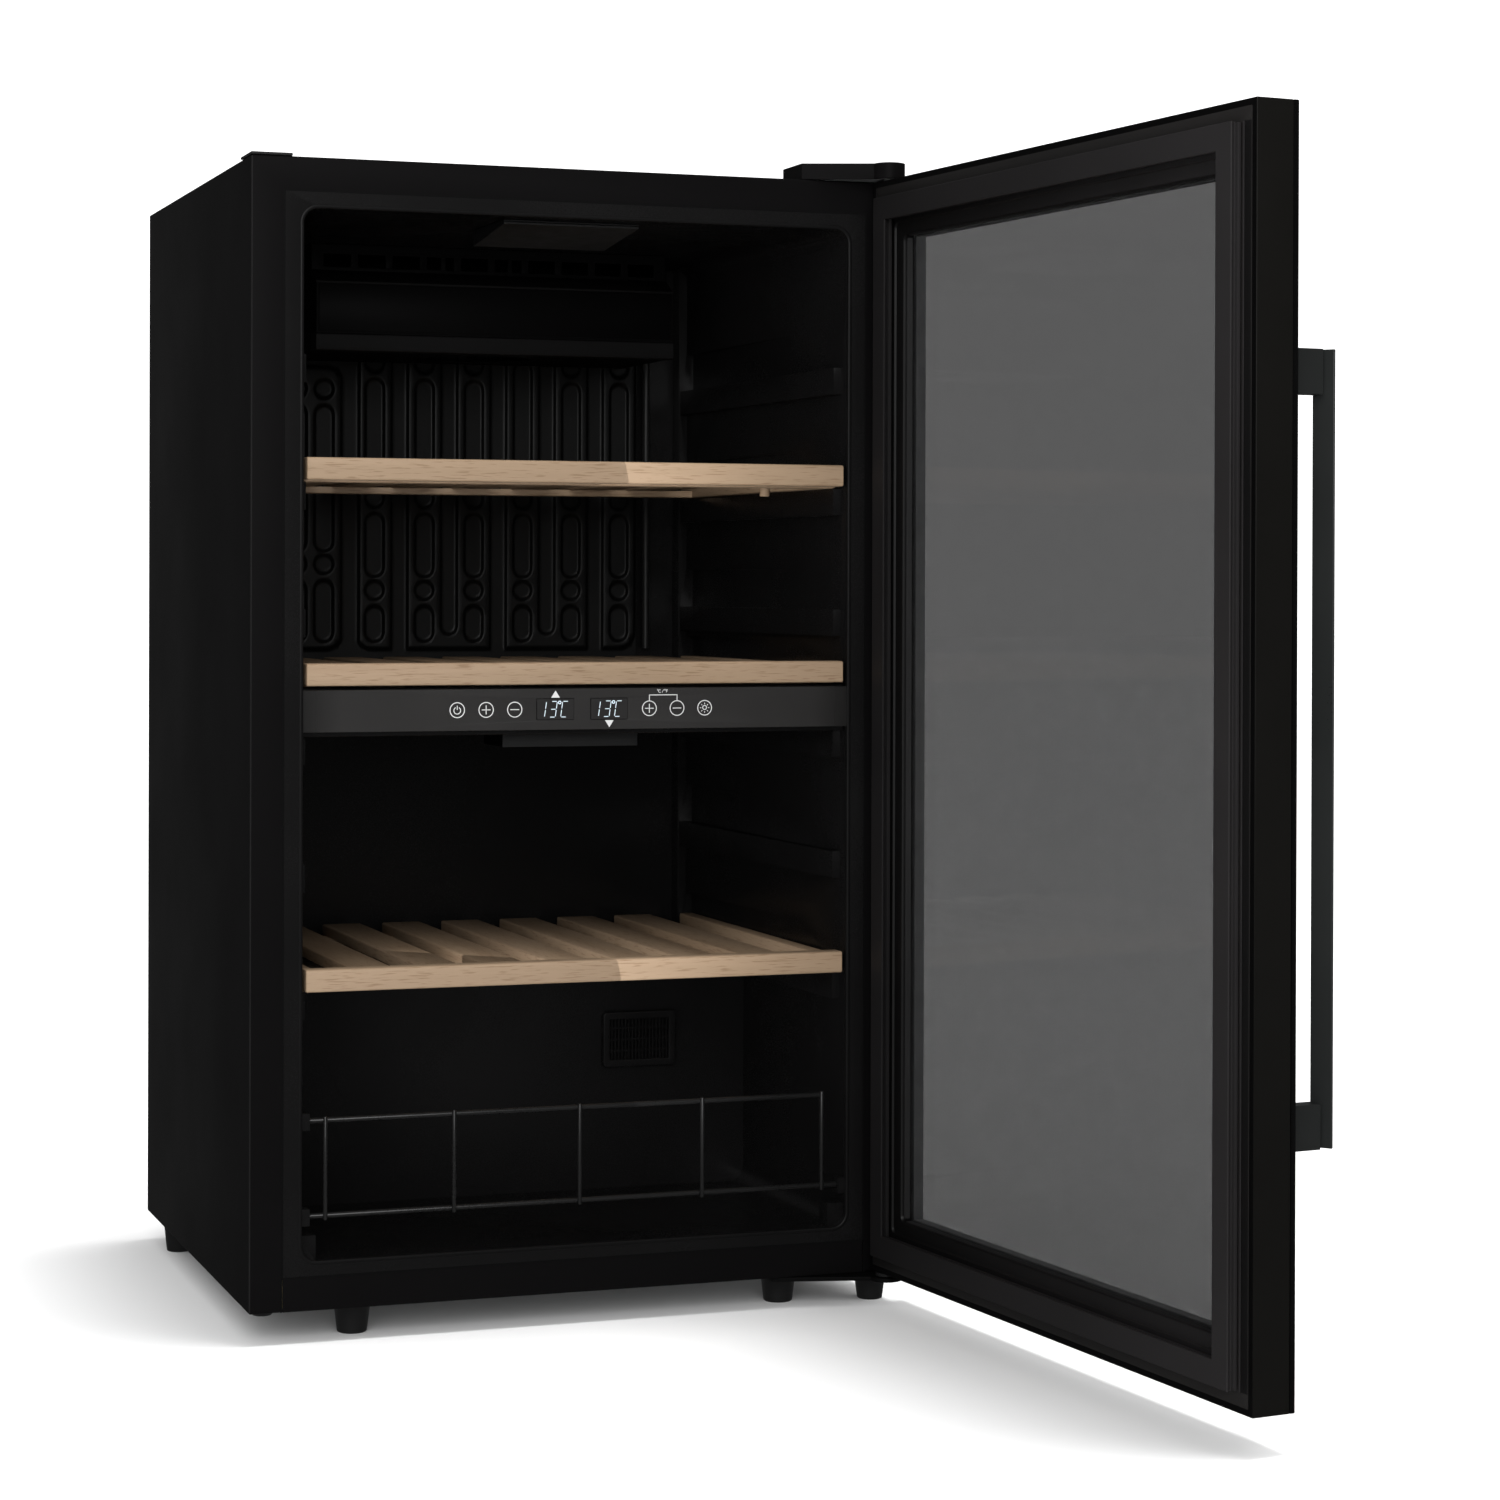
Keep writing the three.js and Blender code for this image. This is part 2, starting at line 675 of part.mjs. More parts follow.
function compressor() {
  const outline = [
    [9, 38],
    [60, 38],
    [66, 48],
    [66, 140],
    [60, 162],
    [42, 176],
    [0, 182],
    [0, 174],
    [38, 169],
    [54, 157],
    [59, 138],
    [59, 50],
    [55, 45],
    [9, 45],
    [9, 38],
  ];
  const shell = new THREE.LatheGeometry(outline.map(([r, h]) => new THREE.Vector2(r, h)), 20);
  shell.rotateX(Math.PI / 2);
  shell.scale(1.14, 1, 1);
  shell.translate(compressorX, compressorY, 0);
  const plate = cut(
    block(compressorX - 95, compressorX + 95, compressorY - 52, compressorY + 52, 35.5, 38.5),
    rod([compressorX, compressorY, 30], [compressorX, compressorY, 50], 12),
  );
  const legs = [[-84, -42], [84, -42], [-84, 42], [84, 42]].map(([dx, dy]) => {
    const x = compressorX + dx;
    const y = compressorY + dy;
    return rod([x, y, CABINET_BOTTOM + SHEET + 1.2 + 2 * GAP], [x, y, 36], 9, 12);
  });
  return join(solidOf(shell), plate, ...legs);
}

function terminalBox() {
  const x = compressorX + 66 * 1.14 + 0.6;
  return block(x, x + 34, compressorY - 26, compressorY + 26, 74, 134);
}

function dripTray() {
  const bottom = 182.5;
  return cut(
    block(compressorX - 75, compressorX + 75, compressorY - 55, compressorY + 55, bottom, bottom + 18),
    block(compressorX - 73, compressorX + 73, compressorY - 53, compressorY + 53, bottom + 2, 210),
  );
}

const CONDENSER_Y = DEPTH + 13;
const CONDENSER_HALF = 195;
const CONDENSER_BOTTOM = 262;
const CONDENSER_PITCH = 65;
const CONDENSER_PASSES = 9;

function condenser() {
  const points = [];
  for (let i = 0; i < CONDENSER_PASSES; i += 1) {
    const z = CONDENSER_BOTTOM + i * CONDENSER_PITCH;
    const ends = i % 2 ? [1, -1] : [-1, 1];
    ends.forEach((end) => points.push([end * CONDENSER_HALF, CONDENSER_Y, z]));
  }
  const top = CONDENSER_BOTTOM + (CONDENSER_PASSES - 1) * CONDENSER_PITCH;
  const wires = [];
  for (const x of [-150, 0, 150]) {
    const y = CONDENSER_Y + 2.8;
    wires.push(rod([x, y, CONDENSER_BOTTOM - 14], [x, y, top + 14], 1, 4));
  }
  const posts = [];
  for (const x of [-160, 160]) {
    for (const z of [CONDENSER_BOTTOM, top]) {
      posts.push(block(x - 5, x + 5, DEPTH - 0.2, CONDENSER_Y + 2, z - 8, z + 8));
    }
  }
  return join(pipe(points, 2.5, 6), ...wires, ...posts);
}

function dischargeTube() {
  const x = compressorX - 66 * 1.14 - 1;
  return pipe([
    [x, compressorY, 110],
    [-205, compressorY, 110],
    [-205, CONDENSER_Y, 110],
    [-205, CONDENSER_Y, CONDENSER_BOTTOM],
    [-199, CONDENSER_Y, CONDENSER_BOTTOM],
  ], 2.5);
}

function suctionTube() {
  const x = compressorX + 50;
  return pipe([
    [x + 30, compressorY - 40, 150],
    [x + 60, compressorY - 40, 150],
    [x + 60, compressorY - 40, BAY_TOP - 0.5],
  ], 3.5);
}

function filterDrier() {
  const x = 170;
  const y = 390;
  return join(
    rod([x, y, 96], [x, y, 108], 3, 12, 10),
    rod([x, y, 108], [x, y, 180], 10, 12),
    rod([x, y, 180], [x, y, 192], 10, 12, 3),
    rod([x, y, 190], [x, y, 200], 2.5, 8),
    rod([x, y, 88], [x, y, 98], 2.5, 8),
  );
}

function cordGland() {
  const y = DEPTH - 1 + GAP;
  return cut(
    join(rod([205, y, 44], [205, y + 3, 44], 13, 20), rod([205, y, 44], [205, y + 12, 44], 9, 20, 7)),
    rod([205, y - 1, 44], [205, y + 14, 44], 4.2, 12),
  );
}

// --- Door, drawn closed ---

function pinHoles() {
  return [
    rod([PIN_X, PIN_Y, 0], [PIN_X, PIN_Y, DOOR_BOTTOM + PIN_REACH + 1], PIN_HOLE),
    rod([PIN_X, PIN_Y, DOOR_TOP - PIN_REACH - 1], [PIN_X, PIN_Y, CABINET_TOP], PIN_HOLE),
  ];
}

// Blocks in the metal frame's corners hold the hinge pins.
function pinBlocks(grow) {
  const left = PIN_X - 12 - grow;
  const reach = PIN_BLOCK + grow;
  return [
    block(left, SIDE - 1, DOOR_FRAME_FRONT - grow, DOOR_INNER + grow, DOOR_BOTTOM, DOOR_BOTTOM + reach),
    block(left, SIDE - 1, DOOR_FRAME_FRONT - grow, DOOR_INNER + grow, DOOR_TOP - reach, DOOR_TOP),
  ];
}

function doorFrame() {
  const body = ring(SIDE, DOOR_BOTTOM, DOOR_TOP, DOOR_SIDE, DOOR_FRAME_FRONT, DOOR_INNER);
  return cut(join(body, ...pinBlocks(0)), ...pinHoles());
}

function doorInnerFrame() {
  const half = SIDE - DOOR_SIDE - GAP;
  const bottom = DOOR_BOTTOM + DOOR_SIDE + GAP;
  const top = DOOR_TOP - DOOR_SIDE - GAP;
  const body = ring(half, bottom, top, DOOR_BORDER - DOOR_SIDE - GAP, DOOR_FRAME_FRONT, DOOR_INNER);
  const rebateHalf = SIDE - DOOR_BORDER + REBATE;
  const rebate = block(
    -rebateHalf,
    rebateHalf,
    DOOR_FRAME_FRONT - 1,
    PANE_INNER + GAP,
    DOOR_BOTTOM + DOOR_BORDER - REBATE,
    DOOR_TOP - DOOR_BORDER + REBATE,
  );
  return cut(body, rebate, gasketRoot(GAP), ...pinBlocks(GAP));
}

// The gasket's root, a rib pressed into a groove round the inner frame.
function gasketRoot(grow) {
  const inset = GASKET_WIDTH / 2 - 1.5;
  return ring(
    SIDE - GASKET_SIDE - inset + grow,
    DOOR_BOTTOM + GASKET_END + inset - grow,
    DOOR_TOP - GASKET_END - inset + grow,
    3 + 2 * grow,
    DOOR_INNER - 3 - grow,
    DOOR_INNER + 2,
  );
}

function doorGasket() {
  const body = ring(
    SIDE - GASKET_SIDE,
    DOOR_BOTTOM + GASKET_END,
    DOOR_TOP - GASKET_END,
    GASKET_WIDTH,
    DOOR_INNER + GAP,
    GASKET_FACE,
  );
  return join(body, gasketRoot(0));
}

function frontPane() {
  const shape = roundedRectangle(-SIDE, SIDE, DOOR_BOTTOM, DOOR_TOP, 3);
  return solidOf(deep(shape, DOOR_FRONT, PANE_FRONT, 3));
}

function innerPane() {
  const half = SIDE - DOOR_BORDER + REBATE - GAP;
  const edge = DOOR_BORDER - REBATE + GAP;
  return block(-half, half, PANE_INNER - 3, PANE_INNER, DOOR_BOTTOM + edge, DOOR_TOP - edge);
}

function paneSpacer() {
  const half = SIDE - DOOR_BORDER + REBATE - GAP;
  const edge = DOOR_BORDER - REBATE + GAP;
  return ring(
    half,
    DOOR_BOTTOM + edge,
    DOOR_TOP - edge,
    REBATE + 0.4,
    PANE_FRONT + GAP,
    PANE_INNER - 3 - GAP,
  );
}

function handleBar() {
  const back = DOOR_FRONT - HANDLE_STAND + HANDLE_THICK;
  const shape = new THREE.Shape();
  const x1 = HANDLE_X + HANDLE_WIDTH;
  const front = DOOR_FRONT - HANDLE_STAND;
  shape.moveTo(HANDLE_X, back);
  shape.absarc(HANDLE_X + 2, front + 2, 2, Math.PI, Math.PI * 1.5);
  shape.absarc(x1 - 2, front + 2, 2, Math.PI * 1.5, Math.PI * 2);
  shape.lineTo(x1, back);
  return high(shape, HANDLE_BOTTOM, HANDLE_TOP, 3);
}

function handleBracket(bottom) {
  const back = DOOR_FRONT - HANDLE_STAND + HANDLE_THICK + GAP;
  const x1 = HANDLE_X + HANDLE_WIDTH;
  return block(HANDLE_X, x1, back, DOOR_FRONT - GAP, bottom, bottom + BRACKET_HEIGHT);
}

// --- Assembly ---

function part(name, solid, material) {
  const mesh = new THREE.Mesh(geometryOf(solid), material);
  mesh.name = name;
  return mesh;
}

function cabinetGroup() {
  const group = new THREE.Group();
  group.add(
    part('outer_wrap', outerWrap(), steel),
    part('front_bottom_rail', frontBottomRail(), steel),
    part('base_pan', basePan(), zinc),
    part('inner_liner', innerLiner(), linerPlastic),
    part('foam_insulation', foamFilling(), foam),
    part('bay_shroud', bayShroud(), zinc),
    part('rear_panel', rearPanel(), steel),
    part('top_hinge', topHinge(), zinc),
    part('top_hinge_cover', topHingeCover(), blackPlastic),
    part('bottom_hinge', bottomHinge(), zinc),
    part('hinge_bush', hingeBush(), blackPlastic),
    part('top_left_cap', topLeftCap(), blackPlastic),
    part('bottom_left_plug', bottomLeftPlug(), blackPlastic),
  );
  feet.forEach((shape) => group.add(part(shape.name, foot(shape), blackPlastic)));
  return group;
}

function insideGroup() {
  const group = new THREE.Group();
  group.add(
    part('zone_divider', zoneDivider(), linerPlastic),
    part('control_panel', controlPanel(), panelPlastic),
    part('upper_display', displayBlock(-DISPLAY_X, 0), smokedDisplay),
    part('lower_display', displayBlock(DISPLAY_X, 0), smokedDisplay),
    part('control_board', controlBoard(), boardGreen),
    part('upper_light_housing', upperLightHousing(), blackPlastic),
    part('upper_light_lens', upperLightLens(), lensPlastic),
    part('lower_light_housing', lowerLightHousing(), blackPlastic),
    part('lower_light_lens', lowerLightLens(), lensPlastic),
    part('fan_box', fanBox(), linerPlastic),
    part('fan_motor', fanMotor(), blackPlastic),
    part('evaporator_plate', evaporatorPlate(), aluminium),
    part('evaporator_line', evaporatorLine(), aluminium),
    part('lower_evaporator', lowerEvaporator(), aluminium),
    part('sensor_cover', sensorCover(), linerPlastic),
    part('temperature_sensor', temperatureSensor(), lensPlastic),
    part('bottle_guard', bottleGuard(), chromedWire),
  );
  const rotor = part('fan_rotor', fanRotor(), blackPlastic);
  rotor.position.set(FAN_X, FAN_Y, FAN_BOTTOM);
  group.add(rotor);
  return group;
}

function shelvesGroup() {
  const group = new THREE.Group();
  for (const [name, bottom] of Object.entries(SHELF_RAIL_BOTTOMS)) {
    group.add(
      part(`${name}_shelf_rail`, shelfRail(bottom), beech),
      part(`${name}_shelf_frame`, shelfFrame(bottom), beech),
    );
  }
  return group;
}

function machineryGroup() {
  const group = new THREE.Group();
  group.add(
    part('compressor', compressor(), paintedMetal),
    part('terminal_box', terminalBox(), blackPlastic),
    part('drip_tray', dripTray(), blackPlastic),
    part('condenser', condenser(), paintedMetal),
    part('discharge_tube', dischargeTube(), copper),
    part('suction_tube', suctionTube(), copper),
    part('filter_drier', filterDrier(), copper),
    part('cord_gland', cordGland(), blackPlastic),
  );
  return group;
}

function doorGroup() {
  const closed = new THREE.Group();
  closed.add(
    part('door_frame', doorFrame(), paintedMetal),
    part('door_inner_frame', doorInnerFrame(), doorPlastic),
    part('door_gasket', doorGasket(), rubber),
    part('front_pane', frontPane(), glass),
    part('inner_pane', innerPane(), glass),
    part('pane_spacer', paneSpacer(), spacerMetal),
    part('handle_bar', handleBar(), handleMetal),
    part('lower_handle_bracket', handleBracket(HANDLE_BOTTOM), handleMetal),
    part('upper_handle_bracket', handleBracket(HANDLE_TOP - BRACKET_HEIGHT), handleMetal),
  );
  closed.position.set(-PIN_X, -PIN_Y, 0);
  const door = new THREE.Group();
  door.add(closed);
  door.rotation.z = THREE.MathUtils.degToRad(DOOR_ANGLE);
  door.position.set(PIN_X, PIN_Y, 0);
  return door;
}

const cooler = new THREE.Group();
cooler.add(cabinetGroup(), insideGroup(), shelvesGroup(), machineryGroup(), doorGroup());

// The origin is on the floor under the middle of the whole cooler's box, with the door open.
cooler.updateMatrixWorld(true);
const middle = new THREE.Box3().setFromObject(cooler, true).getCenter(new THREE.Vector3());
cooler.position.set(-middle.x, -middle.y, 0);

export default cooler;
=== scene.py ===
"""The looks of a two-zone wine cooler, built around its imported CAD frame.

Pieces are drawn in millimetres in the cabinet's own axes: X = 0 is the middle of the cabinet,
Y = 0 its front plane and Z = 0 the floor. Door pieces are drawn closed and then swung open.
"""

import math

import bmesh
import bpy
from mathutils import Matrix, Vector


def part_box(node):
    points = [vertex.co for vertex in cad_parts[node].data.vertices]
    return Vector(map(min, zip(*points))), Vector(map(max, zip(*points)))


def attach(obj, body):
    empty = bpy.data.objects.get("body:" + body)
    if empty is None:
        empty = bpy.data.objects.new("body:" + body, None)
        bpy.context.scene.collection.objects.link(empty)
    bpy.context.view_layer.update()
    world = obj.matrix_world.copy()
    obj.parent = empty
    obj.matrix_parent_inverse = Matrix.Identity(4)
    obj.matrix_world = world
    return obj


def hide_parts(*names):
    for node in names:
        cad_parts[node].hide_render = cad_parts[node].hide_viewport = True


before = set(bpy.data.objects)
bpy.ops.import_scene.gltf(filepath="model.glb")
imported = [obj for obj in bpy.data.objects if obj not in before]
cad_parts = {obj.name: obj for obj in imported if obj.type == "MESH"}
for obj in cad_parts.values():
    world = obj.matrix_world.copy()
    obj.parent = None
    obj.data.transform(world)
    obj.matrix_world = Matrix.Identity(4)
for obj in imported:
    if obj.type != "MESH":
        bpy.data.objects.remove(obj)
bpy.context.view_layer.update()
scene = bpy.context.scene

# --- Sizes of the cooler, in millimetres ---

MM = 0.001
SIDE = 246  # half the cabinet's width
CABINET_BOTTOM = 23
CABINET_TOP = 843
DEPTH = 412
SHEET = 1
FLANGE = 24
OPENING_HALF = 209
OPENING_BOTTOM = 57
OPENING_TOP = 808
PANEL_FRONT = 0.6
PANEL_MIDDLE = 449
DISPLAY_X = 20.6
PLATE_Y = 360.8
PLATE_HALF = 160
PLATE_LOW = 478
PLATE_HIGH = 800
COVER_X = 113.5
COVER_Z = 176
GRILLE_BARS = 17
HUMP_FRONT = 214
GUARD_Y = 7
GUARD_LOWER = 89
GUARD_UPPER = 157
GUARD_SPREAD = 95
GUARD_RADIUS = 2
SHELF_RAILS = {"upper": 614, "middle": 467, "lower": 249}
SHELF_HALF = 204.5
SHELF_FRONT = 16.5
SHELF_BACK = 340
SLAT_WIDTH = 32
SLAT_PITCH = 50
CONDENSER_Y = 425
CONDENSER_HALF = 195
CONDENSER_LOW = 262
CONDENSER_PITCH = 65
CONDENSER_PASSES = 9
CONDENSER_WIRES = 27
COMPRESSOR = Vector((-70, 330, 0))
COMPRESSOR_STRETCH = 1.14  # its length over its width

DOOR_LOW = 26
DOOR_HIGH = 842
DOOR_INNER = -9
DOOR_BACK = -36.7
DOOR_GLASS = -41
DOOR_BORDER = 43
REBATE = 35  # the panes' edges and the spacer, from the door's sides
RIM_HEIGHT = 0.25
PRINT_WIDTH = 22
INNER_PANE_BACK = -18.95
SPACER_BACK = -22.05
SPACER_FRONT = -30
DOOR_PIN = Vector((234, -16, 0))
DOOR_ANGLE = math.radians(96.3)
GASKET_SIDE = 15.3
GASKET_END = 13.7
GASKET_WIDTH = 17.4
GASKET_FACE = -0.5

wrap_low, wrap_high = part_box("outer_wrap")
CENTRE = Vector(((wrap_low.x + wrap_high.x) / 2, wrap_low.y, 0))
IN_CABINET = Matrix.Translation(CENTRE) @ Matrix.Scale(MM, 4)
SWING = (
    Matrix.Translation(DOOR_PIN)
    @ Matrix.Rotation(DOOR_ANGLE, 4, "Z")
    @ Matrix.Translation(-DOOR_PIN)
)
IN_DOOR = IN_CABINET @ SWING


def new_object(name, data):
    made = bpy.data.objects.new(name, data)
    scene.collection.objects.link(made)
    return made


# --- Camera ---

CAMERA_PLACE = Vector((-720.1, -2303, 539.5))
CAMERA_YAW = math.radians(19.062)
CAMERA_PITCH = math.radians(0.206)
CAMERA_ROLL = math.radians(0.161)
CAMERA_LENS = 79.27
CAMERA_SHIFT_X = 0.046
CAMERA_SHIFT_Y = -0.10187


def add_camera():
    data = bpy.data.cameras.new("camera")
    data.sensor_width = 36
    data.lens = CAMERA_LENS
    data.shift_x = CAMERA_SHIFT_X
    data.shift_y = CAMERA_SHIFT_Y
    data.clip_end = 100
    camera = new_object("camera", data)
    heading = Matrix.Rotation(-CAMERA_YAW, 4, "Z")
    tilt = Matrix.Rotation(math.pi / 2 - CAMERA_PITCH, 4, "X")
    roll = Matrix.Rotation(CAMERA_ROLL, 4, "Z")
    camera.matrix_world = Matrix.Translation(IN_CABINET @ CAMERA_PLACE) @ heading @ tilt @ roll
    scene.camera = camera


add_camera()

# --- Materials ---


def new_material(name):
    material = bpy.data.materials.new(name)
    material.use_nodes = True
    tree = material.node_tree
    shader = tree.nodes["Principled BSDF"]
    return material, tree, shader


def new_node(tree, kind):
    return tree.nodes.new("ShaderNode" + kind)


def link(source, target):
    source.id_data.links.new(source, target)


def set_inputs(node, **values):
    """Sets a node's inputs by name, with _ for each space."""
    for name, value in values.items():
        node.inputs[name.replace("_", " ")].default_value = value


def object_coordinates(tree, stretch=(1, 1, 1)):
    """Coordinates in metres, fixed to the piece; stretch squeezes the pattern along an axis."""
    coordinates = new_node(tree, "TexCoord")
    mapping = new_node(tree, "Mapping")
    set_inputs(mapping, Scale=stretch)
    link(coordinates.outputs["Object"], mapping.inputs["Vector"])
    return mapping.outputs["Vector"]


def noise(tree, vector, scale, detail=3, distortion=0.0):
    node = new_node(tree, "TexNoise")
    set_inputs(node, Scale=scale, Detail=detail, Distortion=distortion)
    link(vector, node.inputs["Vector"])
    return node.outputs["Fac"]


def ramp(tree, factor, stops):
    """stops are (place, colour) pairs, with the colour as three linear numbers."""
    node = new_node(tree, "ValToRGB")
    elements = node.color_ramp.elements
    while len(elements) < len(stops):
        elements.new(0.5)
    for element, (place, colour) in zip(elements, stops):
        element.position = place
        element.color = (*colour, 1)
    link(factor, node.inputs["Fac"])
    return node.outputs["Color"]


def spread(tree, factor, low, high, start=0.3, end=0.7):
    """Maps a factor's range from start to end onto the range from low to high."""
    node = new_node(tree, "MapRange")
    set_inputs(node, From_Min=start, From_Max=end, To_Min=low, To_Max=high)
    link(factor, node.inputs["Value"])
    return node.outputs["Result"]


def bump(tree, shader, height, strength, distance):
    node = new_node(tree, "Bump")
    set_inputs(node, Strength=strength, Distance=distance)
    link(height, node.inputs["Height"])
    link(node.outputs["Normal"], shader.inputs["Normal"])


def shade(colour, factor):
    return tuple(c * factor for c in colour)


EXPOSURE = 0.82  # paints are darkened to suit the strong studio light
GLOSS_VARY = 0.05


def surface(
    name, colour, roughness, metallic=0.0, specular=0.5, patch=7, vary=0.12,
    grain=900, grain_depth=0.00004, grain_strength=0.3,
):
    """A paint, plastic or metal: soft patches in its colour and gloss, and a fine grain."""
    material, tree, shader = new_material(name)
    vector = object_coordinates(tree)
    patches = noise(tree, vector, patch, 4)
    colour = shade(colour, EXPOSURE)
    stops = [(0.3, shade(colour, 1 - vary)), (0.7, shade(colour, 1 + vary))]
    link(ramp(tree, patches, stops), shader.inputs["Base Color"])
    fine = noise(tree, vector, grain, 2)
    mixed = new_node(tree, "Math")
    mixed.operation = "MULTIPLY_ADD"
    mixed.inputs[1].default_value = 0.5
    link(fine, mixed.inputs[0])
    link(spread(tree, patches, 0.1, 0.4), mixed.inputs[2])
    rough = spread(tree, mixed.outputs[0], roughness - GLOSS_VARY, roughness + GLOSS_VARY)
    link(rough, shader.inputs["Roughness"])
    set_inputs(shader, Metallic=metallic, Specular_IOR_Level=specular)
    bump(tree, shader, fine, grain_strength, grain_depth)
    return material


def scale_paint(tree, factor):
    """Multiplies a material's paint colour by a factor socket."""
    base = tree.nodes["Principled BSDF"].inputs["Base Color"]
    scale = new_node(tree, "VectorMath")
    scale.operation = "SCALE"
    link(base.links[0].from_socket, scale.inputs[0])
    link(factor, scale.inputs["Scale"])
    link(scale.outputs[0], base)


def object_axis(tree, axis):
    axes = new_node(tree, "SeparateXYZ")
    link(object_coordinates(tree), axes.inputs[0])
    return axes.outputs[axis]


FREE_SIDE_Y = -0.46  # the open door's two sides, in the frame's metres
HINGE_SIDE_Y = 0.01


def painted_hinge_shade(name, hinge, free):
    """Paints shade and light onto a door paint: one factor at the hinge side, where the cabinet
    blocks light, another at the free side.
    """
    tree = MATERIALS[name].node_tree
    factor = spread(tree, object_axis(tree, "Y"), free, hinge, FREE_SIDE_Y, HINGE_SIDE_Y)
    scale_paint(tree, factor)


def painted_end_shade(name, reach, start, darkest):
    """Paints shade onto a wide piece: darkens its paint towards both ends, measured from the
    cabinet's middle.
    """
    tree = MATERIALS[name].node_tree
    offset = new_node(tree, "Math")
    offset.operation = "SUBTRACT"
    offset.inputs[1].default_value = CENTRE.x
    link(object_axis(tree, "X"), offset.inputs[0])
    distance = new_node(tree, "Math")
    distance.operation = "ABSOLUTE"
    link(offset.outputs[0], distance.inputs[0])
    factor = spread(tree, distance.outputs[0], 1.0, darkest, start * MM, reach * MM)
    scale_paint(tree, factor)


def wood(name, along):
    """Pale beech. along is the axis that the grain runs along."""
    material, tree, shader = new_material(name)
    long_way = [38.0, 38.0, 38.0]
    long_way["XYZ".index(along)] = 1.6
    bands = noise(tree, object_coordinates(tree, long_way), 1.0, 5, 0.6)
    fleck_way = [900.0, 900.0, 900.0]
    fleck_way["XYZ".index(along)] = 60.0
    flecks = noise(tree, object_coordinates(tree, fleck_way), 1.0, 2)
    stops = [
        (0.30, (0.232, 0.156, 0.0975)),
        (0.46, (0.275, 0.193, 0.123)),
        (0.58, (0.302, 0.213, 0.139)),
        (0.75, (0.256, 0.174, 0.109)),
    ]
    base = ramp(tree, bands, stops)
    mix = new_node(tree, "Mix")
    mix.data_type = "RGBA"
    mix.blend_type = "MULTIPLY"
    set_inputs(mix, Factor=0.55)
    link(base, mix.inputs["A"])
    dark = ramp(tree, flecks, [(0.34, (0.55, 0.45, 0.36)), (0.44, (1, 1, 1))])
    link(dark, mix.inputs["B"])
    link(mix.outputs["Result"], shader.inputs["Base Color"])
    link(spread(tree, bands, 0.5, 0.62), shader.inputs["Roughness"])
    set_inputs(shader, Specular_IOR_Level=0.3)
    bump(tree, shader, flecks, 0.25, 0.00012)
    return material


def glass(name, alpha, colour):
    """Smoked glass: a clear film with hardly any mirror image, because the studio is bright."""
    material, tree, shader = new_material(name)
    vector = object_coordinates(tree)
    haze = noise(tree, vector, 4, 3)
    tint = ramp(tree, haze, [(0.3, shade(colour, 0.92)), (0.7, shade(colour, 1.08))])
    link(tint, shader.inputs["Base Color"])
    link(spread(tree, haze, 0.015, 0.035), shader.inputs["Roughness"])
    set_inputs(shader, Alpha=alpha, Specular_IOR_Level=0.06)
    return material


def glowing(name, colour, strength, roughness=0.4):
    """Print or a lens, which gives off strength times its own colour."""
    material, tree, shader = new_material(name)
    vector = object_coordinates(tree)
    cloud = noise(tree, vector, 60, 2)
    tint = ramp(tree, cloud, [(0.3, shade(colour, 0.94)), (0.7, colour)])
    link(tint, shader.inputs["Base Color"])
    link(tint, shader.inputs["Emission Color"])
    rough = spread(tree, cloud, roughness - GLOSS_VARY, roughness + GLOSS_VARY)
    link(rough, shader.inputs["Roughness"])
    set_inputs(shader, Emission_Strength=strength)
    return material


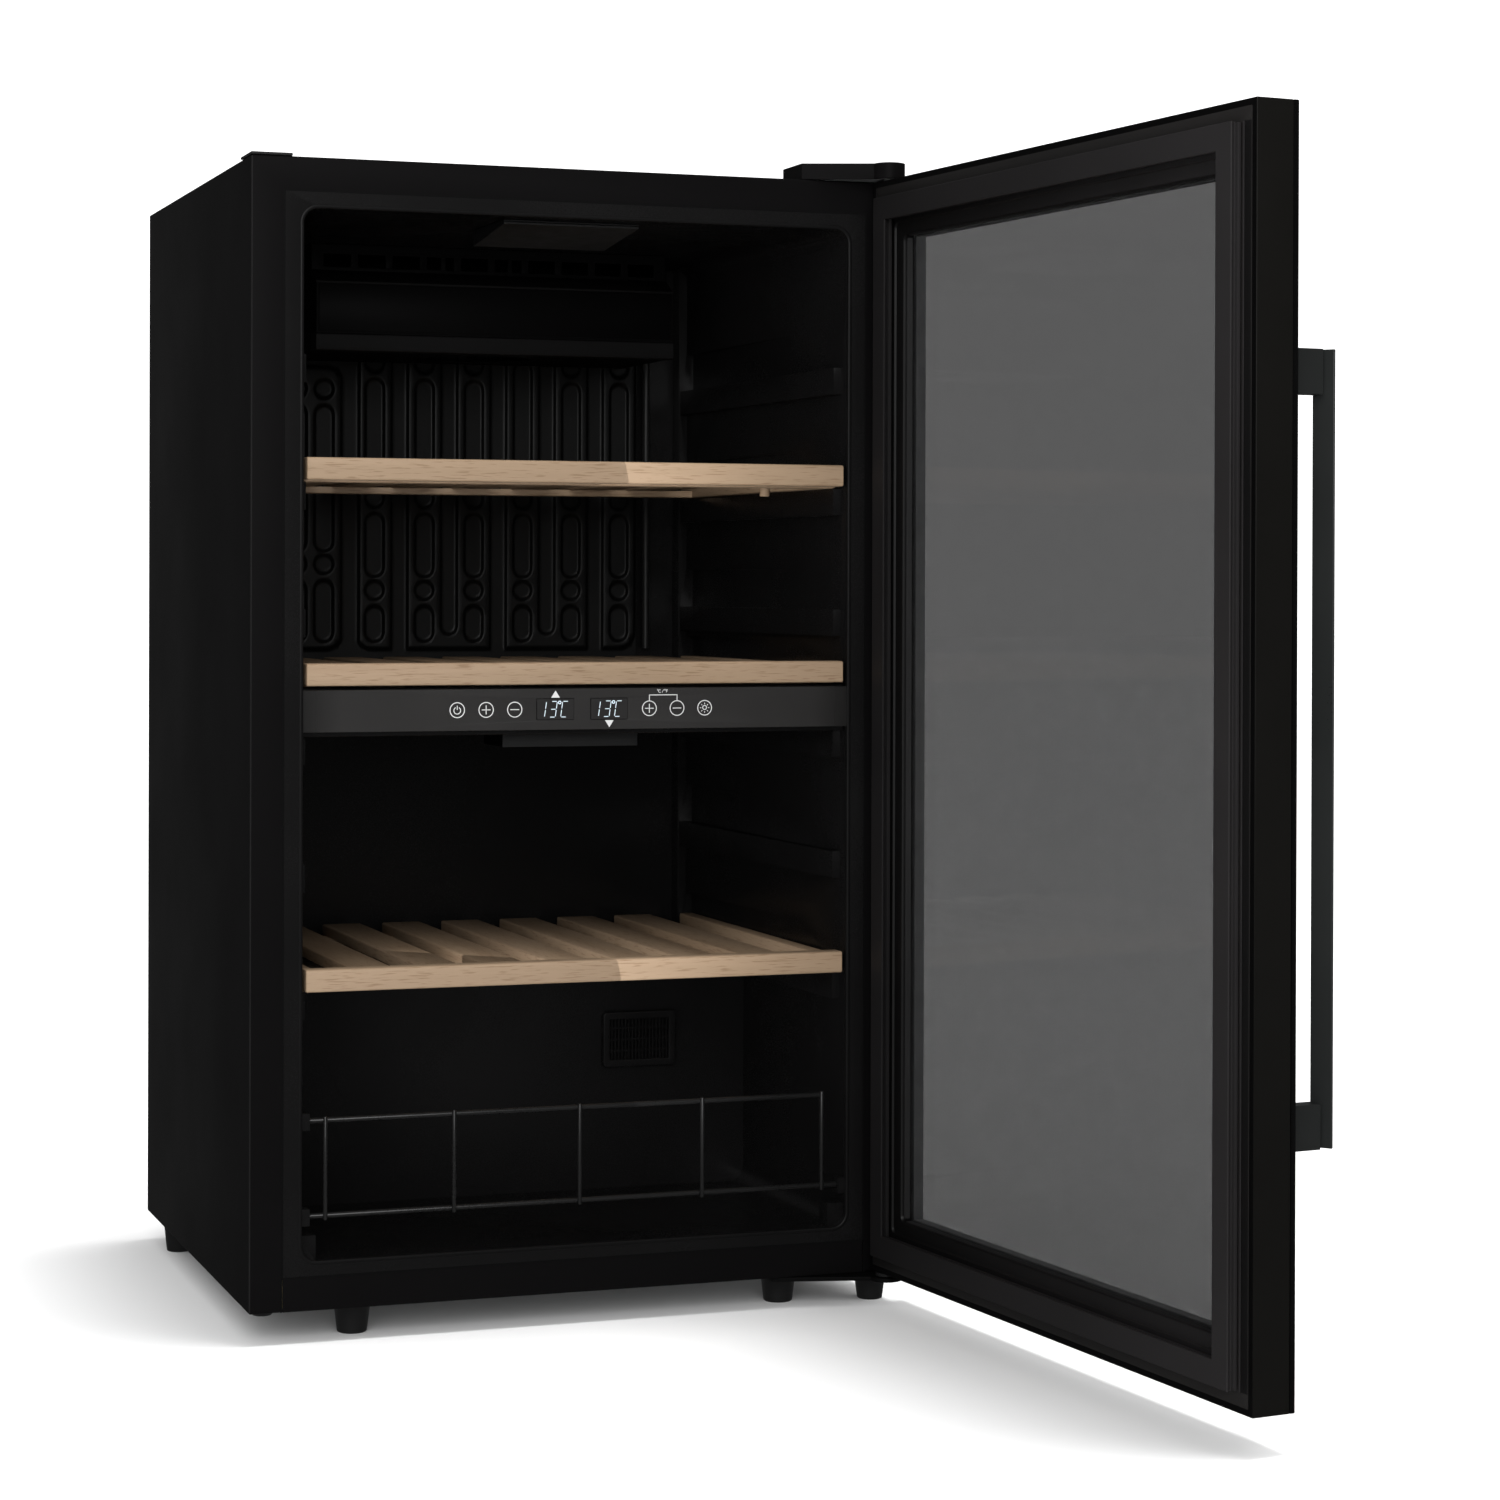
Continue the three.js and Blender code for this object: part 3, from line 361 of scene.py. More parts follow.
MATERIALS = {
    "wrap": surface("wrap_paint", (0.0045, 0.0042, 0.0044), 0.42, specular=0.03, vary=0.05),
    # a lighter copy of the wrap paint: a painted highlight for the front edges
    "wrap_painted_highlight": surface("wrap_painted_highlight", (0.0115, 0.011, 0.0113), 0.42, specular=0.2),
    "zinc": surface("zinc_plate", (0.42, 0.43, 0.43), 0.42, metallic=0.85, patch=45, vary=0.18),
    "liner": surface("liner_plastic", (0.0058, 0.0056, 0.0057), 0.26, specular=0.17, grain=1400),
    "bead": surface("opening_bead", (0.0052, 0.005, 0.0051), 0.35, specular=0.14),
    "trim": surface("fan_trim", (0.0046, 0.0044, 0.0045), 0.35, specular=0.12),
    "shadow": surface("dark_groove", (0.0022, 0.0021, 0.0022), 0.6, specular=0.1),
    "fascia": surface("fan_fascia", (0.0021, 0.002, 0.0021), 0.4, specular=0.05),
    "foam": surface("foam", (0.75, 0.62, 0.33), 0.9, grain=300, grain_depth=0.0004),
    "black": surface("black_plastic", (0.0085, 0.0085, 0.0087), 0.46, specular=0.4, grain=1600),
    "panel": surface("panel_plastic", (0.0262, 0.0252, 0.0246), 0.24, specular=0.45, grain=2000),
    "display": surface("display_window", (0.0235, 0.0228, 0.0225), 0.12, grain_strength=0.02),
    "board": surface("circuit_board", (0.012, 0.085, 0.03), 0.5, patch=90, vary=0.3),
    "lens": glowing("light_lens", (0.0098, 0.01, 0.0102), 0.0),
    "dim_lens": glowing("lower_light_lens", (0.0065, 0.0066, 0.0067), 0.0),
    "aluminium": surface("evaporator", (0.0108, 0.011, 0.011), 0.4, metallic=0.7),
    "machine": surface("machine_paint", (0.006, 0.006, 0.0062), 0.36, specular=0.5, patch=30),
    "door_metal": surface("door_metal", (0.0051, 0.0048, 0.0041), 0.4, specular=0.12, grain=1200),
    "door_plastic": surface("door_plastic", (0.0072, 0.0067, 0.0069), 0.4, specular=0.22),
    "door_rim": surface("door_rim", (0.013, 0.0119, 0.0115), 0.5, specular=0.2),
    "gasket": surface("gasket_rubber", (0.0178, 0.0165, 0.017), 0.5, specular=0.15, grain=1500),
    # a dark paint that stands in for the gasket's shadow on the free edge
    "gasket_painted_shadow": surface("gasket_painted_shadow", (0.0072, 0.0068, 0.0069), 0.5, specular=0.15),
    "glass": glass("smoked_glass", 0.494, (0.0015, 0.0015, 0.0016)),
    "enamel": surface("glass_border", (0.0014,) * 3, 0.2, specular=0.2, grain_strength=0.05),
    "spacer": surface("spacer_bar", (0.36, 0.363, 0.367), 0.4, patch=80),
    "pane_seal": surface("pane_seal", (0.021, 0.0207, 0.0209), 0.45, specular=0.2),
    "line_tube": surface("evaporator_pipe", (0.02, 0.02, 0.02), 0.36, metallic=0.3, specular=0.3),
    "handle": surface("handle_paint", (0.0198, 0.0216, 0.0212), 0.32, specular=0.4),
    "bracket": surface("bracket_paint", (0.0122, 0.0133, 0.013), 0.34, specular=0.3),
    "wood_x": wood("beech_across", "X"),
    "wood_y": wood("beech_front_to_back", "Y"),
    "copper": surface("copper", (0.68, 0.3, 0.16), 0.32, metallic=1.0, patch=60, vary=0.25),
    "wire": surface("black_wire", (0.0105, 0.0105, 0.0105), 0.3, specular=0.5),
    "print": glowing("panel_print", (0.62, 0.62, 0.62), 0.0, 0.5),
    "digits": glowing("display_digits", (0.62, 0.72, 0.8), 0.35, 0.4),
}

# Painted shade and light on the door: darker near the hinge, lighter towards the free edge.
painted_hinge_shade("gasket", 0.55, 1.25)
painted_hinge_shade("door_plastic", 0.35, 2.25)
painted_hinge_shade("door_rim", 0.85, 1.3)
# Painted shade at both ends of the control panel.
painted_end_shade("panel", OPENING_HALF - 1, 180, 0.42)

# --- Meshes ---


def tidy(bm):
    bmesh.ops.remove_doubles(bm, verts=bm.verts, dist=1e-4)
    bmesh.ops.recalc_face_normals(bm, faces=bm.faces)
    return bm


def new_mesh(name, bm):
    mesh = bpy.data.meshes.new(name)
    bm.to_mesh(mesh)
    bm.free()
    return mesh


def join(first, *others):
    """Puts the other meshes into the first."""
    for other in others:
        scratch = new_mesh("scratch", other)
        first.from_mesh(scratch)
        bpy.data.meshes.remove(scratch)
    return first


def round_edges(bm, edges, width, steps):
    bmesh.ops.bevel(bm, geom=edges, offset=width, segments=steps, profile=0.5, affect="EDGES")


def box(x0, x1, y0, y1, z0, z1, round_by=0.0, steps=2):
    bm = bmesh.new()
    bmesh.ops.create_cube(bm, size=1)
    low, high = Vector((x0, y0, z0)), Vector((x1, y1, z1))
    for v in bm.verts:
        v.co = [low[i] + (v.co[i] + 0.5) * (high[i] - low[i]) for i in range(3)]
    if round_by:
        round_edges(bm, bm.edges[:], round_by, steps)
    return bm


def directions(sides):
    """Unit vectors evenly spaced round a circle, as (cosine, sine) pairs."""
    angles = [2 * math.pi * k / sides for k in range(sides)]
    return [(math.cos(a), math.sin(a)) for a in angles]


def turned(outline, x, y, sides=48):
    """A closed outline of (radius, height) points, turned about an upright axis."""
    bm = bmesh.new()
    rings = []
    for radius, height in outline:
        spokes = directions(sides) if radius else [(0, 0)]
        ring = [bm.verts.new((x + radius * c, y + radius * s, height)) for c, s in spokes]
        rings.append(ring)
    for low, high in zip(rings, rings[1:]):
        bridge(bm, low, high)
    for end in (rings[0], rings[-1]):
        if len(end) > 1:
            bm.faces.new(end)
    return tidy(bm)


def bridge(bm, low, high):
    """Joins two closed rings of vertices with a band of faces."""
    count = max(len(low), len(high))
    for k in range(count):
        corners = [
            low[k % len(low)],
            low[(k + 1) % len(low)],
            high[(k + 1) % len(high)],
            high[k % len(high)],
        ]
        corners = list(dict.fromkeys(corners))
        if len(corners) > 2:
            bm.faces.new(corners)


def rounded_path(corners, bend, steps=6):
    """The points of a bent tube's middle line, with an arc at each corner."""
    corners = [Vector(c) for c in corners]
    path = [corners[0]]
    for a, b, c in zip(corners, corners[1:], corners[2:]):
        into = (b - a).normalized()
        out = (c - b).normalized()
        turn = into.angle(out)
        inward = (out - into * math.cos(turn)).normalized()
        start = b - into * bend * math.tan(turn / 2)
        centre = start + inward * bend
        for k in range(steps + 1):
            a_k = turn * k / steps
            path.append(centre + (into * math.sin(a_k) - inward * math.cos(a_k)) * bend)
    path.append(corners[-1])
    return path


def tube(path, radius, sides=12):
    """A round bar along a path, with flat ends."""
    bm = bmesh.new()
    normal = None
    rings = []
    for i, point in enumerate(path):
        along = (path[min(i + 1, len(path) - 1)] - path[max(i - 1, 0)]).normalized()
        if normal is None:
            normal = along.orthogonal().normalized()
        normal = (normal - along * normal.dot(along)).normalized()
        across = along.cross(normal)
        spokes = [normal * c + across * s for c, s in directions(sides)]
        rings.append([bm.verts.new(point + spoke * radius) for spoke in spokes])
    for low, high in zip(rings, rings[1:]):
        bridge(bm, low, high)
    bm.faces.new(rings[0])
    bm.faces.new(rings[-1])
    return tidy(bm)


def wire(path, radius, sides=10):
    """A tube whose ends are rounded off."""
    bm = tube(path, radius, sides)
    ends = [f for f in bm.faces if len(f.verts) == sides and sides > 4]
    edges = [e for f in ends for e in f.edges]
    round_edges(bm, edges, radius * 0.45, 2)
    return bm


def rectangle(half, low, high, radius=0.0, steps=0):
    """The (x, z) points of a rectangle, with rounded corners where steps is more than 0."""
    if not steps:
        return [(half, low), (half, high), (-half, high), (-half, low)]
    points = []
    right, bottom, top = half - radius, low + radius, high - radius
    centres = [(right, bottom), (right, top), (-right, top), (-right, bottom)]
    for quarter, (x, z) in enumerate(centres, -1):
        for k in range(steps + 1):
            a = math.pi / 2 * (quarter + k / steps)
            points.append((x + radius * math.cos(a), z + radius * math.sin(a)))
    return points


def picture_frame(outline, half, low, high, radius=0.0, steps=0, inner_radius=None):
    """Sweeps a closed outline of (inset, y) points round an upright rectangle."""
    bm = bmesh.new()
    loops = []
    deepest = max(inset for inset, y in outline)
    for inset, y in outline:
        r = max(radius - inset, 0.2)
        if inner_radius is not None:
            r = radius + (inner_radius - radius) * inset / deepest
        points = rectangle(half - inset, low + inset, high - inset, r, steps)
        loops.append([bm.verts.new((x, y, z)) for x, z in points])
    for low_loop, high_loop in zip(loops, loops[1:] + loops[:1]):
        bridge(bm, low_loop, high_loop)
    return tidy(bm)


def rounded_outline(points, radius, steps=3):
    """Rounds the corners of a closed outline of 2D points."""
    points = [Vector((*p, 0)) for p in points]
    result = []
    count = len(points)
    for i, b in enumerate(points):
        a, c = points[i - 1], points[(i + 1) % count]
        into, out = (b - a).normalized(), (c - b).normalized()
        turn = into.angle(out)
        if turn < 0.05:
            result.append((b.x, b.y))
            continue
        reach = min(radius * math.tan(turn / 2), (b - a).length * 0.45, (c - b).length * 0.45)
        for k in range(steps + 1):
            t = k / steps
            start, end = b - into * reach, b + out * reach
            p = start * (1 - t) ** 2 + b * 2 * t * (1 - t) + end * t * t
            result.append((p.x, p.y))
    return result


def prism(points, axis, start, end):
    """Extrudes a closed 2D outline along X or Y."""
    bm = bmesh.new()
    rings = []
    for t in (start, end):
        places = [(t, a, b) if axis == "X" else (a, t, b) for a, b in points]
        rings.append([bm.verts.new(place) for place in places])
    bridge(bm, *rings)
    bm.faces.new(rings[0])
    bm.faces.new(rings[1])
    return tidy(bm)


def cad_mesh(node):
    """A clean copy of a CAD node's mesh, in metres, with its flat faces whole."""
    bm = bmesh.new()
    bm.from_mesh(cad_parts[node].data)
    bmesh.ops.remove_doubles(bm, verts=bm.verts, dist=2e-6)
    bmesh.ops.dissolve_limit(
        bm, angle_limit=math.radians(0.8), verts=bm.verts[:], edges=bm.edges[:]
    )
    bmesh.ops.recalc_face_normals(bm, faces=bm.faces)
    return bm


SHARP = 35  # degrees between two faces that makes their edge sharp


def add_piece(
    name, bm, material, replaces=(), body="cabinet", place=IN_CABINET, sharp=SHARP
):
    """Turns a mesh in millimetres into a piece that rides on a body."""
    bm.transform(place)
    mesh = new_mesh(name, bm)
    mesh.polygons.foreach_set("use_smooth", [True] * len(mesh.polygons))
    mesh.set_sharp_from_angle(angle=math.radians(sharp))
    mesh.materials.append(MATERIALS[material])
    piece = new_object(name, mesh)
    if replaces:
        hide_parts(*replaces)
    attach(piece, body)
    return piece


def bevelled(piece, width, steps=2, angle=30):
    """Rounds a piece's sharp edges; width is in millimetres."""
    modifier = piece.modifiers.new("edges", "BEVEL")
    modifier.width = width * MM
    modifier.segments = steps
    modifier.limit_method = "ANGLE"
    modifier.angle_limit = math.radians(angle)
    modifier.harden_normals = True
    modifier.miter_outer = "MITER_ARC"


def refined(node, material, width, steps=2, body="cabinet", angle=30):
    """The CAD node's own shape, with its sharp edges rounded."""
    in_metres = Matrix.Identity(4)
    shape = cad_mesh(node)
    piece = add_piece(f"{node}_shape", shape, material, [node], body, in_metres)
    bevelled(piece, width, steps, angle)


def moulded(node, width, steps=2):
    """A cabinet node in plain black plastic."""
    refined(node, "black", width, steps)


def dress(node, material):
    """Gives a CAD node's own mesh a better material."""
    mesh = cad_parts[node].data
    mesh.materials.clear()
    mesh.materials.append(MATERIALS[material])


def carve(piece, *cutters):
    """Cuts closed meshes, given in the cabinet's axes, out of a piece."""
    for bm in cutters:
        bm.transform(IN_CABINET)
        cutter = new_object("cutter", new_mesh("cutter", bm))
        modifier = piece.modifiers.new("cut", "BOOLEAN")
        modifier.operation = "DIFFERENCE"
        modifier.solver = "EXACT"
        modifier.object = cutter
        graph = bpy.context.evaluated_depsgraph_get()
        result = bpy.data.meshes.new_from_object(piece.evaluated_get(graph))
        piece.modifiers.clear()
        piece.data = result
        bpy.data.objects.remove(cutter)
    piece.data.set_sharp_from_angle(angle=math.radians(SHARP))


# --- Cabinet ---


def outer_wrap():
    """The folded steel skin; its two upright front edges have a lighter paint, a painted highlight.
    """
    block = box(-SIDE, SIDE, 0, DEPTH, CABINET_BOTTOM, CABINET_TOP, 1.6, 4)
    piece = add_piece("wrap_shell", block, "wrap", ["outer_wrap"])
    inner = SIDE - SHEET
    opening = SIDE - FLANGE
    inside = box(-inner, inner, SHEET, DEPTH + 5, -5, CABINET_TOP - SHEET)
    doorway = box(-opening, opening, -5, DEPTH, -5, CABINET_TOP - FLANGE)
    carve(piece, inside, doorway)
    piece.data.materials.append(MATERIALS["wrap_painted_highlight"])
    # The rounded upright front edges get the lighter paint: a painted highlight.
    for face in piece.data.polygons:
        slanted = abs(face.normal.x) > 0.3 and face.normal.y < -0.3
        if slanted and face.center.y < CENTRE.y + 2 * MM:
            face.material_index = 1


FOOT_STEM_TOP = 34


def foot(name, x, y, radius, top):
    outline = [
        (0, 0), (radius * 0.74, 0), (radius * 0.8, 0.8), (radius * 0.83, 3.5),
        (radius * 0.97, top - 4), (radius, top - 3.4), (radius, top - 1),
        (radius - 0.7, top - 0.3), (4, top - 0.3), (4, FOOT_STEM_TOP),
        (0, FOOT_STEM_TOP),
    ]
    add_piece(f"{name}_shape", turned(outline, x, y), "black", [name])


def foot_pair(end, x, y, radius):
    foot(f"{end}_left_foot", -x, y, radius, CABINET_BOTTOM)
    foot(f"{end}_right_foot", x, y, radius, CABINET_BOTTOM)


def feet():
    foot_pair("front", 164.5, 29, 13.5)
    foot("hinge_foot", DOOR_PIN.x, 16, 11.9, 19.7)
    foot_pair("rear", 230, 356, 12)


def opening_bead():
    """The rolled edge of the liner's opening."""
    bead = []
    for k in range(11):
        a = math.pi * k / 10
        bead.append((1.5 - 1.5 * math.cos(a), 0.3 - 0.7 * math.sin(a)))
    half, low, high = OPENING_HALF + 1.8, OPENING_BOTTOM - 1.8, OPENING_TOP + 1.8
    bm = picture_frame([*bead, (3, 3), (1.9, 3)], half, low, high, 13.8, 10)
    add_piece("opening_bead", bm, "bead")


def liner_joint():
    """The dark sealed joint between liner and wrap, and the bottom rail's two end seams."""
    half = SIDE - FLANGE + 0.4
    low, high = CABINET_BOTTOM + FLANGE - 0.4, CABINET_TOP - FLANGE + 0.4
    joint = [(0, 0.65), (0, 0.95), (1.8, 0.95), (1.8, 0.65)]
    line = [(-0.3, -0.06), (-0.3, 0.2), (1.1, 0.2), (1.1, -0.06)]
    parts = [picture_frame(outline, half, low, high) for outline in (joint, line)]
    for side in (-1, 1):
        seam = side * (half + 0.3)
        parts.append(box(seam - 0.6, seam + 0.6, -0.06, 0.2, CABINET_BOTTOM, low))
    add_piece("liner_joint", join(*parts), "shadow")


def cabinet():
    outer_wrap()
    feet()
    refined("front_bottom_rail", "wrap", 0.4)
    refined("inner_liner", "liner", 1.2, 3)
    opening_bead()
    liner_joint()
    refined("top_hinge_cover", "wrap", 1.0, 3)
    refined("bottom_hinge", "shadow", 0.4)
    moulded("hinge_bush", 0.3)
    moulded("top_left_cap", 0.6)
    moulded("bottom_left_plug", 0.6)
    refined("rear_panel", "wrap", 0.3)
    refined("bay_shroud", "zinc", 0.3)
    refined("base_pan", "zinc", 0.3)
    dress("foam_insulation", "foam")
    dress("top_hinge", "zinc")


cabinet()

# --- Control panel ---

PRINT_THICKNESS = 0.07
ICON_RADIUS = 5.4
ICON_ARM = 3.3
ICONS_X = (51.5, 73, 94.6)  # the three icons on each side of the middle
STROKE = 0.62
FINE_STROKE = 0.6
ARROW_HALF = 3.3


def flat_shape(points):
    return prism(points, "Y", PANEL_FRONT - PRINT_THICKNESS, PANEL_FRONT)


def arc_stroke(x, z, radius, width, start=0.0, end=360.0, steps=40):
    """A printed ring, or a part of one between two angles."""
    whole = end - start >= 360
    bm = bmesh.new()
    front = PANEL_FRONT - PRINT_THICKNESS
    inner, outer = radius - width / 2, radius + width / 2
    section = ((inner, front), (outer, front), (outer, PANEL_FRONT), (inner, PANEL_FRONT))
    rings = []
    for k in range(steps + (0 if whole else 1)):
        a = math.radians(start + (end - start) * k / steps)
        places = [(x + r * math.cos(a), y, z + r * math.sin(a)) for r, y in section]
        rings.append([bm.verts.new(place) for place in places])
    following = rings[1:] + (rings[:1] if whole else [])
    for low, high in zip(rings, following):
        bridge(bm, low, high)
    if not whole:
        bm.faces.new(rings[0])
        bm.faces.new(rings[-1])
    return tidy(bm)


def bar(x0, z0, x1, z1, width):
    a, b = Vector((x0, z0)), Vector((x1, z1))
    along = (b - a).normalized()
    across = Vector((-along.y, along.x)) * width / 2
    return flat_shape([a - across, b - across, b + across, a + across])


def minus(x, z):
    ring = arc_stroke(x, z, ICON_RADIUS, STROKE)
    return [ring, bar(x - ICON_ARM, z, x + ICON_ARM, z, STROKE)]


def plus(x, z):
    return [*minus(x, z), bar(x, z - ICON_ARM, x, z + ICON_ARM, STROKE)]


def power(x, z):
    return [
        arc_stroke(x, z, ICON_RADIUS, STROKE),
        arc_stroke(x, z - 0.3, 2.5, FINE_STROKE, 120, 420),
        bar(x, z + 0.2, x, z + 3.2, FINE_STROKE),
    ]


def lamp(x, z):
    rays = []
    for c, s in directions(8):
        rays.append(bar(x + 2.6 * c, z + 2.6 * s, x + 3.7 * c, z + 3.7 * s, 0.5))
    bulb = arc_stroke(x, z + 0.2, 1.5, FINE_STROKE)
    return [arc_stroke(x, z, ICON_RADIUS, STROKE), bulb, *rays]


def unit_letter(letter, x, z, height, width):
    """A small C or F, and F's two bars, drawn in strokes."""
    if letter == "C":
        return [arc_stroke(x, z, height / 2, width, 50, 310, 20)]
    left = x - height * 0.25
    top = z + height / 2
    return [
        bar(left, z - height / 2, left, top, width),
        bar(left, top, left + height * 0.55, top, width),
        bar(left, z, left + height * 0.45, z, width),
    ]


def unit_label(x, z):
    """The degree signs, letters and slash over the link between plus and minus."""
    marks = [bar(x - 0.9, z - 1.1, x + 0.3, z + 1.1, 0.3)]
    for letter, at in (("C", x - 2.6), ("F", x + 3.0)):
        marks += unit_letter(letter, at, z, 2.0, 0.35)
        marks.append(arc_stroke(at - 1.6, z + 0.9, 0.4, 0.25, steps=12))
    return marks


def link_mark(left, right, z):
    """The bracket that ties two icons together."""
    top, foot_z = z + 9.8, z + 5.6
    return [
        bar(left - FINE_STROKE / 2, top, right + FINE_STROKE / 2, top, FINE_STROKE),
        bar(left, top, left, foot_z, FINE_STROKE),
        bar(right, top, right, foot_z, FINE_STROKE),
    ]


def arrow(x, way):
    """A triangle that points away from a display, up or down."""
    base, tip = PANEL_MIDDLE + way * 8.4, PANEL_MIDDLE + way * 13.6
    return flat_shape([(x - ARROW_HALF, base), (x + ARROW_HALF, base), (x, tip)])


def panel_print():
    z = PANEL_MIDDLE
    near, mid, far = ICONS_X
    shapes = [
        *power(-far, z),
        *plus(-mid, z),
        *minus(-near, z),
        *plus(near, z),
        *minus(mid, z),
        *lamp(far, z),
        *unit_label(62.2, z + 12.6),
        *link_mark(near, mid, z),
        arrow(-DISPLAY_X, 1),
        arrow(DISPLAY_X, -1),
    ]
    add_piece("panel_symbols", join(*shapes), "print")


SEGMENTS = {"1": "bc", "3": "abcdg", "C": "adef"}
SEGMENT_LINES = {
    "a": ((0, 2), (1, 2)), "b": ((1, 1), (1, 2)), "c": ((1, 0), (1, 1)),
    "d": ((0, 0), (1, 0)), "e": ((0, 0), (0, 1)), "f": ((0, 1), (0, 2)),
    "g": ((0, 1), (1, 1)),
}
DIGIT_WIDTH = 4.4
DIGIT_HALF = 5.7  # half a digit's height
DIGIT_STROKE = 0.5
SLANT = 0.14


def digit_point(x, z, column, row):
    height = (row - 1) * DIGIT_HALF
    return x + (column - 0.5) * DIGIT_WIDTH + height * SLANT, z + height


def digit(character, x, z):
    strokes = []
    for segment in SEGMENTS[character]:
        (c0, r0), (c1, r1) = SEGMENT_LINES[segment]
        start = Vector(digit_point(x, z, c0, r0))
        end = Vector(digit_point(x, z, c1, r1))
        inset = (end - start).normalized() * DIGIT_STROKE
        strokes.append(bar(*(start + inset), *(end - inset), DIGIT_STROKE))
    return strokes


def display_digits(name, x):
    z = PANEL_MIDDLE
    shapes = [
        *digit("1", x - 9.8, z),
        *digit("3", x - 1.6, z),
        arc_stroke(x + 3.2, z + 4.9, 1.0, FINE_STROKE, steps=16),
        *digit("C", x + 6.9, z),
    ]
    add_piece(name, join(*shapes), "digits")


def control_panel():
    refined("control_panel", "panel", 0.5, 3)
    refined("zone_divider", "liner", 1.0)
    dress("control_board", "board")
    panel_print()
    for zone, x in (("upper", -DISPLAY_X), ("lower", DISPLAY_X)):
        dress(f"{zone}_display", "display")
        display_digits(f"{zone}_digits", x)


control_panel()

# --- Inside the cabinet ---

COLUMN_PITCH = 42.4
COLUMN_CENTRE = 16.5
ISLAND_HALF = 7.8
JOINT_HALF = 6.85  # half the width of the flat strips between the columns
MAIN_FIELD = (-84, 158, 486, 742)  # the blown-up area's left, right, bottom and top
FAR_FIELD = (-148, -94, 486, 718)
CHANNEL_HEIGHT = 2.6
SLOPE = 2.8
PLATE_ROWS = 230
PLATE_THICKNESS = 1.5
ISLAND_SPANS = (
    (722.5, 722.5), (701.7, 632), (611, 611), (590.7, 553.6), (534.8, 534.8), (514, 500)
)
FAR_SPANS = ((700, 700), (679, 574.4), (556.1, 556.1), (535, 500))


def column_x(k):
    return COLUMN_CENTRE + COLUMN_PITCH * k


def plate_islands():
    """The flat spots in the blown-up field, as (x, top, bottom, half width)."""
    islands = []
    for k in range(-2, 4):
        spans = ISLAND_SPANS if k != 1 else ((717.9, 632), *ISLAND_SPANS[2:])
        islands += [(column_x(k), top, low, ISLAND_HALF) for top, low in spans]
    for x in (-111, -133.5):
        islands += [(x, top, low, ISLAND_HALF) for top, low in FAR_SPANS]
    for k in range(-2, 3):
        x = column_x(k + 0.5)
        top, low = (722, 440) if k % 2 == 0 else (840, 505)
        islands.append((x, top, low, JOINT_HALF))
    islands.append((-89, 840, 440, JOINT_HALF + 0.6))
    return islands


ISLANDS = plate_islands()


def smooth_step(value):
    value = min(max(value, 0), 1)
    return value * value * (3 - 2 * value)


def rounded_inside(x, z, x0, x1, z0, z1, r):
    """How far a point lies inside a rounded rectangle."""
    dx = abs(x - (x0 + x1) / 2) - (x1 - x0) / 2 + r
    dz = abs(z - (z0 + z1) / 2) - (z1 - z0) / 2 + r
    return r - math.hypot(max(dx, 0), max(dz, 0)) - min(max(dx, dz), 0)


def channel_height(x, z):
    main = rounded_inside(x, z, *MAIN_FIELD, 14)
    far = rounded_inside(x, z, *FAR_FIELD, 16)
    edge = max(main, far)
    for centre, top, low, half in ISLANDS:
        if abs(x - centre) < half + SLOPE:
            nearest = min(max(z, low), top)
            edge = min(edge, math.hypot(x - centre, z - nearest) - half)
    return CHANNEL_HEIGHT * smooth_step(edge / SLOPE + 0.5)


def grid_lines():
    """Grid lines across the plate, close together on the channels' slopes."""
    lines = {-PLATE_HALF, PLATE_HALF}
    centres = [(x, half) for x, top, low, half in ISLANDS]
    centres += [(FAR_FIELD[0], 0), (MAIN_FIELD[1], 0)]
    for centre, half in centres:
        for side in (-1, 1):
            for step in (-1.6, -0.9, -0.3, 0.3, 0.9, 1.6):
                lines.add(round(centre + side * (half + step), 1))
            for part in (0.25, 0.5, 0.72):
                lines.add(round(centre + side * half * part, 1))
        lines.add(round(centre, 1))
    kept = []
    for x in sorted(lines):
        if abs(x) <= PLATE_HALF and (not kept or x - kept[-1] > 0.45):
            kept.append(x)
    return kept


def blown_sheet():
    """A roll-bonded sheet: wide channels are blown up round rows of flat islands."""
    bm = bmesh.new()
    lines = grid_lines()
    front = []
    for j in range(PLATE_ROWS + 1):
        z = PLATE_LOW + (PLATE_HIGH - PLATE_LOW) * j / PLATE_ROWS
        front.append([bm.verts.new((x, PLATE_Y - channel_height(x, z), z)) for x in lines])
    for low, high in zip(front, front[1:]):
        for i in range(len(lines) - 1):
            bm.faces.new((low[i], low[i + 1], high[i + 1], high[i]))
    rim = front[0] + [line[-1] for line in front[1:]] + front[-1][-2::-1]
    rim += [line[0] for line in front[-2:0:-1]]
    back = [bm.verts.new((v.co.x, PLATE_Y + PLATE_THICKNESS, v.co.z)) for v in rim]
    bridge(bm, rim, back)
    bm.faces.new(back)
    bmesh.ops.recalc_face_normals(bm, faces=bm.faces)
    return bm


def evaporator():
    sheet = ["evaporator_plate"]
    add_piece("evaporator_sheet", blown_sheet(), "aluminium", sheet, sharp=60)
    y = PLATE_Y - 4
    pipe = tube(rounded_path([(167, y, 486), (167, y, 728), (151, y, 746)], 9), 3, 16)
    add_piece("evaporator_pipe", pipe, "line_tube", ["evaporator_line"])


